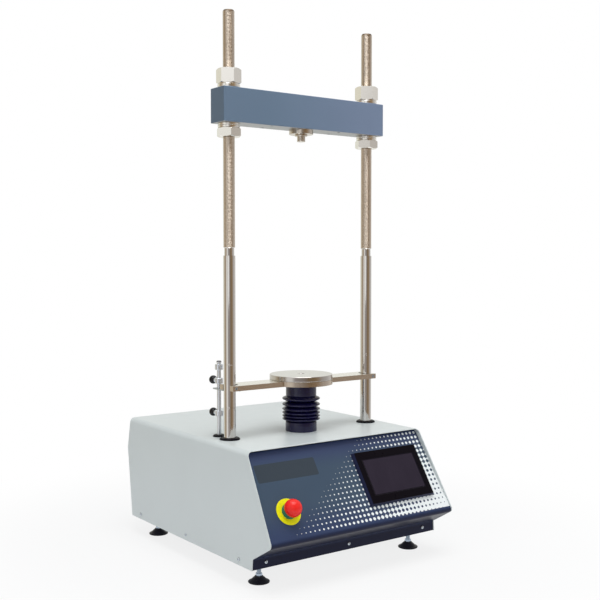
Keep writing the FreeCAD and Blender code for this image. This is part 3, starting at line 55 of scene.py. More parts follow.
# Studio. A pale floor without a seam, a white room and three soft lamps. The room has grey flats and
# a bright window, which show only as bands in the bare metal, as they do in the photograph.
class Wire:
    """One node's output. Arithmetic on it adds the Math nodes that do it."""

    def __init__(self, graph, socket):
        self.graph = graph
        self.socket = socket

    def __add__(self, other):
        return self.graph.math("ADD", self, other)

    def __sub__(self, other):
        return self.graph.math("SUBTRACT", self, other)

    def __rsub__(self, other):
        return self.graph.math("SUBTRACT", other, self)

    def __mul__(self, other):
        return self.graph.math("MULTIPLY", self, other)

    def __truediv__(self, other):
        return self.graph.math("DIVIDE", self, other)

    def __gt__(self, other):
        return self.graph.math("GREATER_THAN", self, other)

    def __lt__(self, other):
        return self.graph.math("LESS_THAN", self, other)

    __radd__ = __add__
    __rmul__ = __mul__


class Graph:
    """A node tree that is written as expressions."""

    def __init__(self, tree):
        self.tree = tree

    def node(self, kind, inputs=None, output=0, stops=None, **settings):
        """Adds a node, sets it and its ramp, then feeds its inputs."""
        made = self.tree.nodes.new(kind)
        for name, value in settings.items():
            setattr(made, name, value)
        if stops:
            row = made.color_ramp.elements
            row[0].position, row[0].color = stops[0]
            row[1].position, row[1].color = stops[-1]
            for position, colour in stops[1:-1]:
                row.new(position).color = colour
        for name, value in (inputs or {}).items():
            self.feed(made.inputs[name], value)
        return Wire(self, made.outputs[output])

    def feed(self, socket, value):
        if isinstance(value, Wire):
            self.tree.links.new(value.socket, socket)
        else:
            socket.default_value = value

    def math(self, operation, *values):
        return self.node("ShaderNodeMath", dict(enumerate(values)), operation=operation)

    def rise(self, value, low, high):
        """0 up to low, 1 from high on, and smooth between."""
        inputs = {"Value": value, "From Min": low, "From Max": high}
        return self.node("ShaderNodeMapRange", inputs, interpolation_type="SMOOTHSTEP")

    def between(self, value, low, high, soft):
        """1 from low to high and 0 beyond, over soft to either side of each."""
        past = self.rise(value, high - soft, high + soft)
        return self.rise(value, low - soft, low + soft) * (1 - past)

    def mix(self, amount, first, second):
        """The first colour at 0, the second at 1."""
        return self.node("ShaderNodeMix", {0: amount, 6: first, 7: second}, 2, data_type="RGBA")

    def split(self, vector):
        made = self.node("ShaderNodeSeparateXYZ", {0: vector}).socket.node
        return [Wire(self, socket) for socket in made.outputs]

    def seen(self):
        """1 for rays that show a surface and 0 for those that light others, then 1 for gloss alone."""
        rays = self.node("ShaderNodeLightPath").socket.node.outputs
        camera, glossy, clear = [
            Wire(self, rays[name]) for name in ("Is Camera Ray", "Is Glossy Ray", "Is Transmission Ray")]
        return self.math("MAXIMUM", camera, self.math("MAXIMUM", glossy, clear)), glossy


def tone(red, green, blue):
    """A colour as a screen shows it, 0 to 255."""
    parts = (c / 255 for c in (red, green, blue))
    return (*[c / 12.92 if c < 0.04045 else ((c + 0.055) / 1.055) ** 2.4 for c in parts], 1.0)


def shade(colour, by):
    """A colour made this many times as bright."""
    return (*[min(c * by, 1.0) for c in colour[:3]], 1.0)


WHITE = (1.0, 1.0, 1.0, 1.0)
turn = math.radians(-36.12)
tilt = math.radians(2.45)
eye = (-1.3888, -1.9829, 0.7095)
focal_pixels = 972.7
image_pixels = 600
sensor = 36
camera_back = Vector((math.sin(turn) * math.cos(tilt), -math.cos(turn) * math.cos(tilt), math.sin(tilt)))
camera_right = Vector((math.cos(turn), math.sin(turn), 0))
camera = bpy.data.objects.new("camera", bpy.data.cameras.new("camera"))
camera.data.sensor_width = sensor
camera.data.lens = focal_pixels / image_pixels * sensor
facing = Matrix((camera_right, camera_back.cross(camera_right), camera_back)).transposed()
camera.matrix_world = Matrix.Translation(eye) @ facing.to_4x4()
scene.collection.objects.link(camera)
scene.camera = camera

scene.world = bpy.data.worlds.new("white_room")
scene.world.use_nodes = True
room = Graph(scene.world.node_tree)
x, y, z = room.split(room.node("ShaderNodeTexCoord", output="Generated"))
towards = x * camera_back.x + y * camera_back.y
sideways = x * camera_right.x + y * camera_right.y
around = room.math("ARCTAN2", sideways, towards) / (2 * math.pi) + 0.5
flats = room.node("ShaderNodeValToRGB", {0: around}, stops=[
    (0.0, tone(236, 236, 230)), (0.10, tone(230, 230, 220)), (0.19, tone(226, 222, 206)),
    (0.23, tone(186, 172, 148)), (0.28, tone(166, 150, 124)), (0.33, tone(200, 186, 176)),
    (0.36, tone(242, 242, 239)), (0.405, tone(242, 242, 239)), (0.44, tone(168, 162, 160)),
    (0.52, tone(152, 144, 138)), (0.58, tone(136, 116, 92)), (0.64, tone(146, 124, 96)),
    (0.68, tone(162, 142, 120)), (0.73, tone(184, 178, 172)), (0.8, tone(204, 201, 199)),
    (0.87, tone(232, 230, 227)), (1.0, tone(236, 236, 230))])
ceiling = room.rise(z, 0.75, 0.95)
window = room.between(around, 0.435, 0.505, 0.012) * room.rise(z, 0.08, 0.13)
reflected = room.mix(window, room.mix(ceiling, flats, tone(232, 234, 238)), WHITE)
shown, in_gloss = room.seen()
backdrop = room.node("ShaderNodeBackground", {"Color": room.mix(in_gloss, WHITE, reflected), "Strength": 1.0})
daylight = room.node("ShaderNodeBackground", {"Color": tone(250, 252, 255), "Strength": 0.56})
room.feed(room.tree.nodes["World Output"].inputs["Surface"],
          room.node("ShaderNodeMixShader", {0: shown, 1: daylight, 2: backdrop}))


def softbox(name, place, aim, wide, high, watts):
    """A soft lamp at place that shines at aim, in metres."""
    lamp = bpy.data.lights.new(name, "AREA")
    lamp.shape = "RECTANGLE"
    lamp.size = wide
    lamp.size_y = high
    lamp.energy = watts
    holder = bpy.data.objects.new(name, lamp)
    look = (Vector(place) - Vector(aim)).to_track_quat("Z", "Y")
    holder.matrix_world = Matrix.Translation(place) @ look.to_matrix().to_4x4()
    scene.collection.objects.link(holder)
    return holder


softbox("lamp_above", (-0.3, -0.7, 3.0), (0, 0, 0.4), 2.0, 1.8, 46)
right_lamp = softbox("lamp_right", (2.4, -2.6, 2.0), (0, 0, 0.5), 1.4, 1.8, 18)
left_lamp = softbox("lamp_left", (-3.0, -0.6, 1.9), (0, 0, 0.4), 1.4, 1.8, 10)
right_lamp.visible_glossy = left_lamp.visible_glossy = False

reach = 1.25
corners = [(-reach, -reach, 0), (reach, -reach, 0), (reach, reach, 0), (-reach, reach, 0)]
floor = bpy.data.objects.new("floor", bpy.data.meshes.new("floor"))
floor.data.from_pydata(corners, [], [(0, 1, 2, 3)])
ground = bpy.data.materials.new("pale_floor")
ground.use_nodes = True
lining = Graph(ground.node_tree)
shown = lining.seen()[0]
matt = lining.node("ShaderNodeBsdfDiffuse", {"Color": (0.8, 0.8, 0.8, 1.0)})
white = lining.node("ShaderNodeEmission", {"Color": WHITE, "Strength": 1.0})
x, y, z = lining.split(lining.node("ShaderNodeTexCoord", output="Object"))
away = lining.rise(lining.math("SQRT", x * x + y * y), 0.45, 1.1)
lining.feed(lining.tree.nodes["Material Output"].inputs["Surface"],
            lining.node("ShaderNodeMixShader", {0: shown * (0.8 + away * 0.2), 1: matt, 2: white}))
floor.data.materials.append(ground)
scene.collection.objects.link(floor)


# Casing. A cover of folded sheet over a tray, closed behind by a sloped panel, all powder coated
# pale grey but for the plain galvanised tray. The sheets meet in narrow gaps and are screwed.
class Finish(Graph):
    """One of the machine's finishes. Sizes in it are in millimetres."""

    def __init__(self, name, base, roughness, metallic=0.0, **sockets):
        self.material = bpy.data.materials.new(name)
        self.material.use_nodes = True
        super().__init__(self.material.node_tree)
        self.shader = self.tree.nodes["Principled BSDF"].inputs
        self.place = self.node("ShaderNodeTexCoord", output="Object")
        self.give(Base_Color=base, Roughness=roughness, Metallic=metallic, **sockets)

    def give(self, **sockets):
        for name, value in sockets.items():
            self.feed(self.shader[name.replace("_", " ")], value)

    def millimetres(self):
        return [part * 1000 for part in self.split(self.place)]

    def noise(self, size, detail=2.0, stretch=(1, 1, 1)):
        """Cloudy noise from 0 to 1 in lumps of about this size, drawn out along stretch."""
        scale = [1000 / size / part for part in stretch]
        moved = self.node("ShaderNodeMapping", {"Vector": self.place, "Scale": scale})
        return self.node("ShaderNodeTexNoise", {"Vector": moved, "Scale": 1.0, "Detail": detail})

    def relief(self, height, depth):
        """A height from 0 to 1 that stands this far proud."""
        inputs = {"Height": height, "Distance": depth / 1000, "Strength": 1.0}
        self.give(Normal=self.node("ShaderNodeBump", inputs))


def painted(name, base, roughness, peel, drift, shine=0.32):
    """Baked powder paint with a fine orange peel and a tone that drifts a little over the sheet."""
    finish = Finish(name, base, roughness, Specular_IOR_Level=shine)
    clouds = finish.noise(160, 3)
    finish.give(Base_Color=finish.mix(clouds, shade(base, 1 - drift), shade(base, 1 + drift)))
    finish.give(Roughness=finish.noise(30, 3) * 0.14 + (roughness - 0.07))
    finish.relief(finish.noise(1.6, 2), peel)
    return finish


def coat(finish, *names):
    """Gives CAD nodes their finish."""
    for name in names:
        nodes[name].data.materials.clear()
        nodes[name].data.materials.append(finish.material)


def linked(name, mesh):
    """A mesh as a piece of the scene."""
    piece = bpy.data.objects.new(name, mesh)
    scene.collection.objects.link(piece)
    return piece


def baked(piece):
    """Turns a piece's modifiers into its plain mesh."""
    depsgraph = bpy.context.evaluated_depsgraph_get()
    mesh = bpy.data.meshes.new_from_object(
        piece.evaluated_get(depsgraph), preserve_all_data_layers=True, depsgraph=depsgraph)
    piece.modifiers.clear()
    piece.data = mesh
    return piece


def dressed(node, edge, finish, slot, body, segments=2):
    """A copy of a CAD node with its sharp edges rounded by edge millimetres, in place of the node."""
    work = bmesh.new()
    work.from_mesh(nodes[node].data)
    bmesh.ops.remove_doubles(work, verts=work.verts, dist=1e-6)
    bmesh.ops.dissolve_limit(work, angle_limit=math.radians(0.2), verts=work.verts, edges=work.edges)
    mesh = bpy.data.meshes.new(node + "_dressed")
    work.to_mesh(mesh)
    work.free()
    for layer in ("custom_normal", "sharp_edge", "sharp_face"):
        if layer in mesh.attributes:
            mesh.attributes.remove(mesh.attributes[layer])
    mesh.shade_smooth()
    piece = linked(node + "_dressed", mesh)
    bevel = piece.modifiers.new("edge", "BEVEL")
    bevel.width = edge / 1000
    bevel.segments = segments
    bevel.limit_method = "ANGLE"
    bevel.angle_limit = math.radians(32)
    weighted = piece.modifiers.new("flats", "WEIGHTED_NORMAL")
    weighted.weight = 80
    baked(piece)
    return seated(piece, finish, slot, body, node)


def seated(piece, finish, slot, body, *stands_for):
    """Gives a piece its finish and hangs it on its body for the nodes it stands for. Its slot is not used."""
    piece.data.materials.clear()
    piece.data.materials.append(finish.material)
    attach(piece, body)
    if stands_for:
        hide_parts(*stands_for)
    return piece


case_grey = painted("case_grey_powder", tone(206, 213, 213), 0.32, 0.0006, 0.03, 0.42)
dressed("cover", 0.7, case_grey, "case_paint", "root")
coat(case_grey, "rear_panel")

galvanised = Finish("galvanised_sheet", tone(158, 164, 168), 0.42, 1.0)
spangle = galvanised.node("ShaderNodeTexVoronoi", {"Vector": galvanised.place, "Scale": 95.0}, "Color")
leaf = galvanised.split(spangle)[0]
galvanised.give(Base_Color=galvanised.mix(leaf, tone(140, 147, 152), tone(178, 183, 186)),
                Roughness=leaf * 0.18 + 0.34)
galvanised.relief(galvanised.noise(5, 3), 0.02)
coat(galvanised, "tray", "side_frames", "motor_bracket", "switch_bracket")

# Front fascia. One sheet folded from the sloped panel over the nose to the strip under it. It is
# printed with white halftone dots that grow to the lower right, round a plain field.
nose_y, nose_z = -338.948, 107.116
slope_y, slope_z = 0.56092, 0.82788


def up_front(depth, height):
    """Millimetres up the sloped front from the nose."""
    return (depth - nose_y) * slope_y + (height - nose_z) * slope_z


def off_front(depth, height):
    """Millimetres out from the sloped front."""
    return (height - nose_z) * slope_y - (depth - nose_y) * slope_z


fascia_blue = tone(65, 81, 99)
navy = tone(18, 22, 50)
fascia_print = Finish("fascia_print", fascia_blue, 0.36, Specular_IOR_Level=0.16)
across, depth, height = fascia_print.millimetres()
rise = up_front(depth, height)
dot_across, dot_up = 12, 11.9
size = across * 0.0073 - rise * 0.00955 + 1.574
size = size + fascia_print.math("MAXIMUM", size - 2, 0.0) * 0.55
size = size + fascia_print.math("MAXIMUM", 0.6 - size, 0.0) * 0.2
waves = (fascia_print.math("COSINE", (across - 3) * (2 * math.pi / dot_across))
         + fascia_print.math("COSINE", (rise - 18.9) * (2 * math.pi / dot_up)))
dots = fascia_print.rise(waves - (2 - size), -0.03, 0.03) * (size > 0.11)
dots = dots * fascia_print.rise(size, -0.15, 0.5) * fascia_print.between(rise, 12.95, 215.3, 0.2)
clouds = fascia_print.noise(120, 3)
panel = fascia_print.mix(clouds, shade(fascia_blue, 0.95), shade(fascia_blue, 1.05))
panel = fascia_print.mix(fascia_print.rise(rise, 10, 90), tone(54, 66, 97), panel)
panel = fascia_print.mix(fascia_print.rise(rise, 150, 216), panel, tone(58, 68, 101))
panel = fascia_print.mix(fascia_print.rise(rise, 1, 14), navy, panel)
panel = fascia_print.mix(dots, panel, tone(236, 240, 240))
# The top strip of the sheet is drawn near black: a painted shadow of the gap under the cover's front edge.
panel = fascia_print.mix(fascia_print.rise(rise, 215.6, 216.4), panel, tone(14, 14, 20))
field_x, field_up, field_half_w, field_half_h, field_corner = -158.5, 164, 81.5, 21, 4
aside = fascia_print.math("ABSOLUTE", across - field_x) - (field_half_w - field_corner)
above = fascia_print.math("ABSOLUTE", rise - field_up) - (field_half_h - field_corner)
beyond = fascia_print.math("SQRT", fascia_print.math("POWER", fascia_print.math("MAXIMUM", aside, 0.0), 2.0)
                           + fascia_print.math("POWER", fascia_print.math("MAXIMUM", above, 0.0), 2.0))
field = fascia_print.rise(field_corner - beyond, -0.15, 0.15)
fascia_print.give(Base_Color=fascia_print.mix(field, panel, tone(58, 67, 76)),
                  Roughness=fascia_print.noise(25, 3) * 0.12 + 0.3 - field * 0.06)
fascia_print.relief(fascia_print.noise(1.4, 2), 0.02)
dressed("front_fascia", 0.4, fascia_print, "fascia_print", "root")


# Case screws. Twelve button head screws with a hexagon socket, bright zinc, that hold the cover,
# fascia and rear panel to the tray. Each is set on its CAD screw, square to the sheet.
def piece_of(work, name, crease=35):
    """A smooth piece from mesh work, with its edges kept sharp past crease degrees."""
    mesh = bpy.data.meshes.new(name)
    work.to_mesh(mesh)
    work.free()
    mesh.shade_smooth()
    mesh.set_sharp_from_angle(angle=math.radians(crease))
    return linked(name, mesh)


def point(radius, angle, up):
    """A point in metres, from its radius and height in millimetres and its angle about Z."""
    return Vector((radius * math.cos(angle) / 1000, radius * math.sin(angle) / 1000, up / 1000))


def turned(name, outline, steps, place, crease, closed=False):
    """A turned piece from (radius, height) points in millimetres, about Z before place."""
    work = bmesh.new()
    rings = []
    for radius, up in outline:
        angles = [2 * math.pi * i / steps for i in range(steps if radius > 1e-6 else 1)]
        rings.append([work.verts.new(place @ point(radius, a, up)) for a in angles])
    pairs = list(zip(rings, rings[1:])) + ([(rings[-1], rings[0])] if closed else [])
    for low, high in pairs:
        for i in range(steps if len(low) + len(high) > 2 else 0):
            j = (i + 1) % steps
            corners = [low[i % len(low)], low[j % len(low)], high[j % len(high)], high[i % len(high)]]
            work.faces.new(list(dict.fromkeys(corners)))
    bmesh.ops.recalc_face_normals(work, faces=work.faces)
    return piece_of(work, name, crease)


def tree_with(name, **inputs):
    """A tree that changes a mesh, and its named inputs."""
    group = bpy.data.node_groups.new(name, "GeometryNodeTree")
    group.interface.new_socket("Geometry", in_out="INPUT", socket_type="NodeSocketGeometry")
    group.interface.new_socket("Geometry", in_out="OUTPUT", socket_type="NodeSocketGeometry")
    for label, kind in inputs.items():
        group.interface.new_socket(label, in_out="INPUT", socket_type="NodeSocket" + kind)
    graph = Graph(group)
    given = {s.name: Wire(graph, s) for s in group.nodes.new("NodeGroupInput").outputs if s.name}
    return graph, given


def tree_end(graph, geometry, material):
    """Ends a tree in real geometry of one material."""
    real = graph.node("GeometryNodeRealizeInstances", {"Geometry": geometry})
    finished = graph.node("GeometryNodeSetMaterial", {"Geometry": real, "Material": material})
    graph.feed(graph.tree.nodes.new("NodeGroupOutput").inputs["Geometry"], finished)
    return graph.tree


def grown(piece, group, **values):
    """Runs a tree on a piece and keeps the result as its plain mesh."""
    modifier = piece.modifiers.new(group.name, "NODES")
    modifier.node_group = group
    for item in group.interface.items_tree:
        if item.in_out == "INPUT" and item.name in values:
            modifier[item.identifier] = values[item.name]
    return baked(piece)


def lined(name, base, roughness, line, size, depth, spread, marks, stain=1.0):
    """Cut or plated metal with tool lines drawn out along line, and faint stains."""
    finish = Finish(name, base, roughness, 1.0)
    lines = finish.noise(size, 2, line)
    stains = finish.noise(45, 4)
    worn = finish.mix(lines, shade(base, 1 - marks), shade(base, 1 + marks * 0.5))
    finish.give(Base_Color=finish.mix(stains * 0.35 * stain, worn, shade(base, 0.82)),
                Roughness=lines * spread + (roughness - spread / 2) + (stains - 0.5) * 0.06)
    finish.relief(lines, depth)
    return finish


graph, given = tree_with("screws_on_seats", Screw="Object", Coating="Material")
screw_shape = graph.node("GeometryNodeObjectInfo", {"Object": given["Screw"]}, "Geometry")
out_way = graph.node("GeometryNodeInputNamedAttribute", {"Name": "out"}, data_type="FLOAT_VECTOR")
square = graph.node("FunctionNodeAlignRotationToVector", {"Vector": out_way}, axis="Z")
placed = graph.node("GeometryNodeInstanceOnPoints", {
    "Points": given["Geometry"], "Instance": screw_shape, "Rotation": square})
screws_on_seats = tree_end(graph, placed, given["Coating"])


def screw_seats(node):
    """(seat centre, outward way) of each screw in a CAD node, from the flat under its head."""
    work = bmesh.new()
    work.from_mesh(nodes[node].data)
    bmesh.ops.remove_doubles(work, verts=work.verts, dist=1e-6)
    reached = set()
    seats = []
    for first in work.faces:
        if first in reached:
            continue
        reached.add(first)
        island = [first]
        for face in island:
            for edge in face.edges:
                for other in edge.link_faces:
                    if other not in reached:
                        reached.add(other)
                        island.append(other)
        planes = {}
        for face in island:
            way = tuple(round(c, 2) for c in face.normal)
            plane = (way, round(face.calc_center_median().dot(face.normal) * 1e4))
            area, middle = planes.get(plane, (0.0, Vector()))
            planes[plane] = (area + face.calc_area(), middle + face.calc_center_median() * face.calc_area())
        (way, _), (area, middle) = max(planes.items(), key=lambda flat: flat[1][0])
        seats.append((middle / area, -Vector(way).normalized()))
    work.free()
    return seats


def button_screw(name, radius, tall, socket):
    """Domed head with a hexagon socket, its seat at the origin and its head along Z."""
    rim = 24
    edge = 0.35 * tall
    dome = [(radius, 0.0)]
    for a in (0.0, 0.35, 0.7, 1.0):
        dome.append((radius * math.cos(a) ** 0.8, edge + (tall - edge) * math.sin(a)))
    dome.append((socket * 1.16, tall))
    angles = [2 * math.pi * i / rim for i in range(rim)]
    work = bmesh.new()
    rings = [[work.verts.new(point(r, a, up)) for a in angles] for r, up in dome]
    for up in (tall, edge):
        rings.append([])
        for a in angles:
            r = socket * math.cos(math.pi / 6) / math.cos((a % (math.pi / 3)) - math.pi / 6)
            rings[-1].append(work.verts.new(point(r, a, up)))
    for low, high in zip(rings, rings[1:]):
        for i in range(rim):
            work.faces.new((low[i], low[(i + 1) % rim], high[(i + 1) % rim], high[i]))
    work.faces.new(rings[-1])
    work.faces.new(rings[0][::-1])
    bmesh.ops.recalc_face_normals(work, faces=work.faces)
    return piece_of(work, name)


def screws_in(name, node, template, finish, slot, body):
    """Sets a screw on each seat of a CAD node and stands for that node."""
    seats = screw_seats(node)
    mesh = bpy.data.meshes.new(name)
    mesh.from_pydata([place for place, out in seats], [], [])
    ways = mesh.attributes.new("out", "FLOAT_VECTOR", "POINT")
    ways.data.foreach_set("vector", [c for place, out in seats for c in out])
    piece = grown(linked(name, mesh), screws_on_seats, Screw=template, Coating=finish.material)
    bpy.data.objects.remove(template)
    return seated(piece, finish, slot, body, node)


bright_zinc = lined("bright_zinc", tone(196, 204, 212), 0.26, (1, 1, 1), 3.0, 0.004, 0.16, 0.1)
screws_in("case_screw_heads", "case_screws", button_screw("button_screw", 4.0, 2.4, 1.5), bright_zinc,
          "screw_steel", "root")

# Levelling feet. A black rubber pad that swivels under a zinc plated spindle with a hexagon, which
# is screwed into a boss in the tray.
graph, given = tree_with("cut_thread", Pitch="Float", Deep="Float", Low="Float", High="Float",
                         Across="Float", Along="Float", Coating="Material")
x, y, z = graph.split(graph.node("GeometryNodeInputPosition"))
dx = x - given["Across"]
dy = y - given["Along"]
turns = graph.math("FRACT", z / given["Pitch"] - graph.math("ARCTAN2", dy, dx) / (2 * math.pi))
crest = 0.55
groove = graph.math("MAXIMUM", (graph.math("ABSOLUTE", turns * 2 - 1) - crest) / (1 - crest), 0.0)
run_in = graph.rise(z, given["Low"], given["Low"] + given["Pitch"])
run_out = 1 - graph.rise(z, given["High"] - given["Pitch"], given["High"])
outward = graph.node("ShaderNodeVectorMath", {0: graph.node("ShaderNodeCombineXYZ", {0: dx, 1: dy})},
                     operation="NORMALIZE")
inward = groove * given["Deep"] * run_in * run_out * -1
pushed = graph.node("ShaderNodeVectorMath", {0: outward, "Scale": inward}, operation="SCALE")
cut = graph.node("GeometryNodeSetPosition", {"Geometry": given["Geometry"], "Offset": pushed})
cut_thread = tree_end(graph, cut, given["Coating"])


def threaded(name, below, radius, low, high, above, pitch, deep, x, y, finish, steps, samples=6):
    """A turned bar whose length from low to high is cut with a thread, in millimetres."""
    count = round((high - low) / pitch * samples)
    fine = [(radius, low + (high - low) * i / count) for i in range(count + 1)]
    place = Matrix.Translation((x / 1000, y / 1000, 0))
    bar = turned(name, below + fine + above, steps, place, crease=30)
    return grown(bar, cut_thread, Pitch=pitch / 1000, Deep=deep / 1000, Low=low / 1000, High=high / 1000,
                 Across=x / 1000, Along=y / 1000, Coating=finish.material)


def moulded(name, base, roughness, grain, depth, **sockets):
    """Moulded rubber or plastic with a fine grain and a faint bloom."""
    finish = Finish(name, base, roughness, **sockets)
    bloom = finish.noise(35, 4)
    finish.give(Base_Color=finish.mix(bloom, shade(base, 0.88), shade(base, 1.16)),
                Roughness=finish.noise(12, 3) * 0.16 + (roughness - 0.08))
    finish.relief(finish.noise(grain, 2), depth)
    return finish


foot_rubber = moulded("foot_rubber", tone(20, 18, 30), 0.44, 1.2, 0.03, Specular_IOR_Level=0.3)
foot_zinc = lined("foot_zinc", tone(176, 190, 206), 0.3, (20, 20, 1), 0.5, 0.004, 0.16, 0.12)
pad_outline = [(0, 0), (22.5, 0), (23.6, 0.5), (24, 1.4), (24, 2.4), (23.4, 3.1), (21, 3.6), (19.6, 4.2),
               (14, 9.6), (12.4, 11.2), (10.2, 12.2), (9.6, 13.4), (9.4, 14.4), (4.4, 14.4), (4.4, 9.0),
               (0, 9.0)]
spindle_foot = [(0, 9.2), (4.1, 9.2), (4.1, 14.6), (5.0, 14.6), (5.0, 21.0)]
spindle_end = [(4.2, 72.4), (0, 72.4)]
for corner in ("front_left", "front_right", "rear_left", "rear_right"):
    node = "foot_" + corner
    low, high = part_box(node)
    x, y = (low.x + high.x) * 500, (low.y + high.y) * 500
    there = Matrix.Translation((x / 1000, y / 1000, 0))
    pad = turned(node + "_pad", pad_outline, 72, there, crease=50)
    seated(pad, foot_rubber, "foot_plastic", node, node)
    spindle = threaded(node + "_spindle", spindle_foot, 5.0, 21.2, 71.4, spindle_end, 1.5, 0.55, x, y,
                       foot_zinc, 28)
    seated(spindle, foot_zinc, "zinc_plated", node, node)
    work = bmesh.new()
    hexes = []
    for r, up in ((6.6, 14.6), (7.45, 15.1), (7.45, 20.4), (6.6, 20.9)):
        hexes.append([work.verts.new(there @ point(r, math.radians(60 * i + 15), up)) for i in range(6)])
    for bottom, top in zip(hexes, hexes[1:]):
        for i in range(6):
            work.faces.new((bottom[i], bottom[(i + 1) % 6], top[(i + 1) % 6], top[i]))
    work.faces.new(hexes[0][::-1])
    work.faces.new(hexes[-1])
    seated(piece_of(work, node + "_hexagon", 20), foot_zinc, "zinc_plated", node, node)

# Load frame. Two ground and chromed columns stand in a thick plate under the cover. Each has two
# pairs of ring marks, a neck and a long M27 thread for the crosshead's nuts.
chrome = lined("chromed_steel", tone(222, 222, 224), 0.12, (60, 60, 1), 0.25, 0.0015, 0.08, 0.08, 0.4)
height = chrome.millimetres()[2]
load_y = -84.4
plate_top, ground_end, cut_start = 280, 716, 733
cut_part = chrome.rise(height, cut_start, 736)
# The cut thread is drawn a warmer brown than the ground length, in streaks along it, and the top end a darker
# brown.
brown_tint = chrome.mix(chrome.noise(20, 3, (1, 1, 4)), tone(186, 172, 156), tone(212, 200, 186))
polished = chrome.mix(chrome.noise(0.25, 2, (60, 60, 1)), tone(210, 206, 202), tone(228, 226, 224))
column_end = chrome.rise(height, 1268.6, 1269.0)
brown_tint = chrome.mix(column_end, brown_tint, tone(112, 98, 84))
chrome.give(Base_Color=chrome.mix(cut_part, polished, brown_tint),
            Roughness=cut_part * 0.14 + column_end * 0.3 + 0.1)
ground_r, thread_r, neck_r, mark_deep = 14, 13.5, 11.5, 0.35
marks = []
for middle in (366.0, 466.0):
    for line in (middle - 1.5, middle + 1.5):
        marks += [(ground_r, line - mark_deep), (ground_r - mark_deep, line), (ground_r, line + mark_deep)]
shoulder = [(ground_r, ground_end - 1), (ground_r - 0.2, ground_end - 0.3), (13, ground_end),
            (neck_r, ground_end), (neck_r, cut_start), (thread_r - 0.1, cut_start + 1.9)]
top_end = [(thread_r - 0.1, 1269), (11.4, 1272), (0, 1272)]
for side, x in (("left", -204.0), ("right", 204.0)):
    node = "column_" + side
    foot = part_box(node)[0].z * 1000
    below = [(0, foot), (12.5, foot), (thread_r, foot + 1), (thread_r, plate_top), (ground_r, plate_top)]
    column = threaded(node + "_turned", below + marks + shoulder, thread_r, 735.0, 1268.5, top_end, 3.0, 0.8,
                      x, load_y, chrome, 44, 8)
    seated(column, chrome, "chromed_steel", "root", node)
plate_steel = lined("milled_plate", tone(150, 152, 156), 0.38, (40, 1, 1), 0.8, 0.01, 0.18, 0.2)
black_oxide = lined("black_oxide", tone(42, 42, 46), 0.42, (1, 1, 1), 2.0, 0.006, 0.14, 0.2)
coat(plate_steel, "load_plate")
coat(bright_zinc, "column_base_nuts")
coat(black_oxide, "cap_screws")

# Grommets. Black rubber rings round the columns and the stop rod where they leave the cover, pressed
# into its holes.
grommet_rubber = moulded("grommet_rubber", tone(10, 8, 16), 0.4, 1.0, 0.01, Specular_IOR_Level=0.05)
coat(grommet_rubber, "grommets")

# Crosshead. A machined beam, painted blue grey on its sides and left bare underneath, clamped
# between hexagon nuts on the column threads with turned rings and washers.
crosshead_blue = painted("crosshead_blue", tone(104, 120, 138), 0.4, 0.02, 0.05)
across, depth, height = crosshead_blue.millimetres()
bare = 1 - crosshead_blue.rise(height, 1017.3, 1017.8)
mill = crosshead_blue.noise(0.8, 2, (60, 1, 1))
# The blue grey is drawn lighter towards the right end: a painted light. The darker patches after it are the
# paint's own uneven tone.
paint = crosshead_blue.mix(crosshead_blue.rise(across, -150, 235), tone(105, 125, 146), tone(120, 135, 160))
paint = crosshead_blue.mix(crosshead_blue.noise(90, 3) * 0.2, paint, tone(80, 98, 120))
left_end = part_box("crosshead")[0].x * 1000
# The left end face is drawn a darker blue grey than the front: a painted shade.
shaded_end_face = 1 - crosshead_blue.rise(across, left_end + 0.1, left_end + 0.8)
paint = crosshead_blue.mix(shaded_end_face, paint, tone(84, 102, 120))
milled = crosshead_blue.mix(mill, tone(150, 152, 154), tone(196, 198, 200))
crosshead_blue.give(Base_Color=crosshead_blue.mix(bare, paint, milled), Metallic=bare,
                    Roughness=crosshead_blue.noise(30, 3) * 0.12 + 0.34)
dressed("crosshead", 0.7, crosshead_blue, "crosshead_paint", "crosshead")
nickel = lined("bright_nickel", tone(244, 241, 235), 0.15, (30, 30, 1), 0.4, 0.004, 0.14, 0.1, 0.5)
dressed("washers", 0.25, nickel, "nickel_plated", "crosshead")
for side in ("left", "right"):
    for level in ("upper", "lower"):
        name = f"{level}_nut_{side}"
        dressed(name, 1.1, nickel, "nickel_plated", name, 3)

# Load cell adapter. A turned steel flange under the crosshead with an M20 stud for the load cell.
turned_steel = lined("turned_steel", tone(214, 206, 196), 0.18, (80, 80, 1), 0.35, 0.004, 0.16, 0.16)
stud_end = [(0, 989), (9.0, 989), (10, 990)]
flange = [(10, 1002), (14.4, 1002), (15, 1002.6), (15, 1006), (28.2, 1006), (29, 1006.8), (29, 1016.9),
          (0, 1016.9)]
adapter = threaded("adapter_turned", stud_end, 10.0, 990.4, 1001.6, flange, 2.5, 1.0, 0.0, load_y,
                   turned_steel, 72, 8)
seated(adapter, turned_steel, "machined_steel", "crosshead", "load_cell_adapter")

# Drive. A cast housing holds the lift nut in two bearings. A toothed belt turns the nut from a
# gear motor, and the ram screw rises in it. All of it is under the cover.
casting = moulded("cast_housing", tone(104, 110, 116), 0.55, 1.6, 0.12)
motor_black = painted("motor_enamel", tone(46, 50, 58), 0.4, 0.03, 0.08)
anodised = lined("pulley_aluminium", tone(176, 180, 186), 0.34, (40, 40, 1), 0.5, 0.006, 0.14, 0.12)
belt_rubber = moulded("belt_rubber", tone(26, 26, 28), 0.6, 1.0, 0.05)
screw_steel = lined("rolled_screw", tone(150, 150, 152), 0.26, (40, 40, 1), 0.5, 0.006, 0.16, 0.2)
coat(casting, "jack_housing")
coat(nickel, "nut_bearings")
coat(screw_steel, "lift_nut", "ram_screw")
coat(anodised, "motor_pulley")
coat(belt_rubber, "drive_belt")
coat(motor_black, "gear_motor")

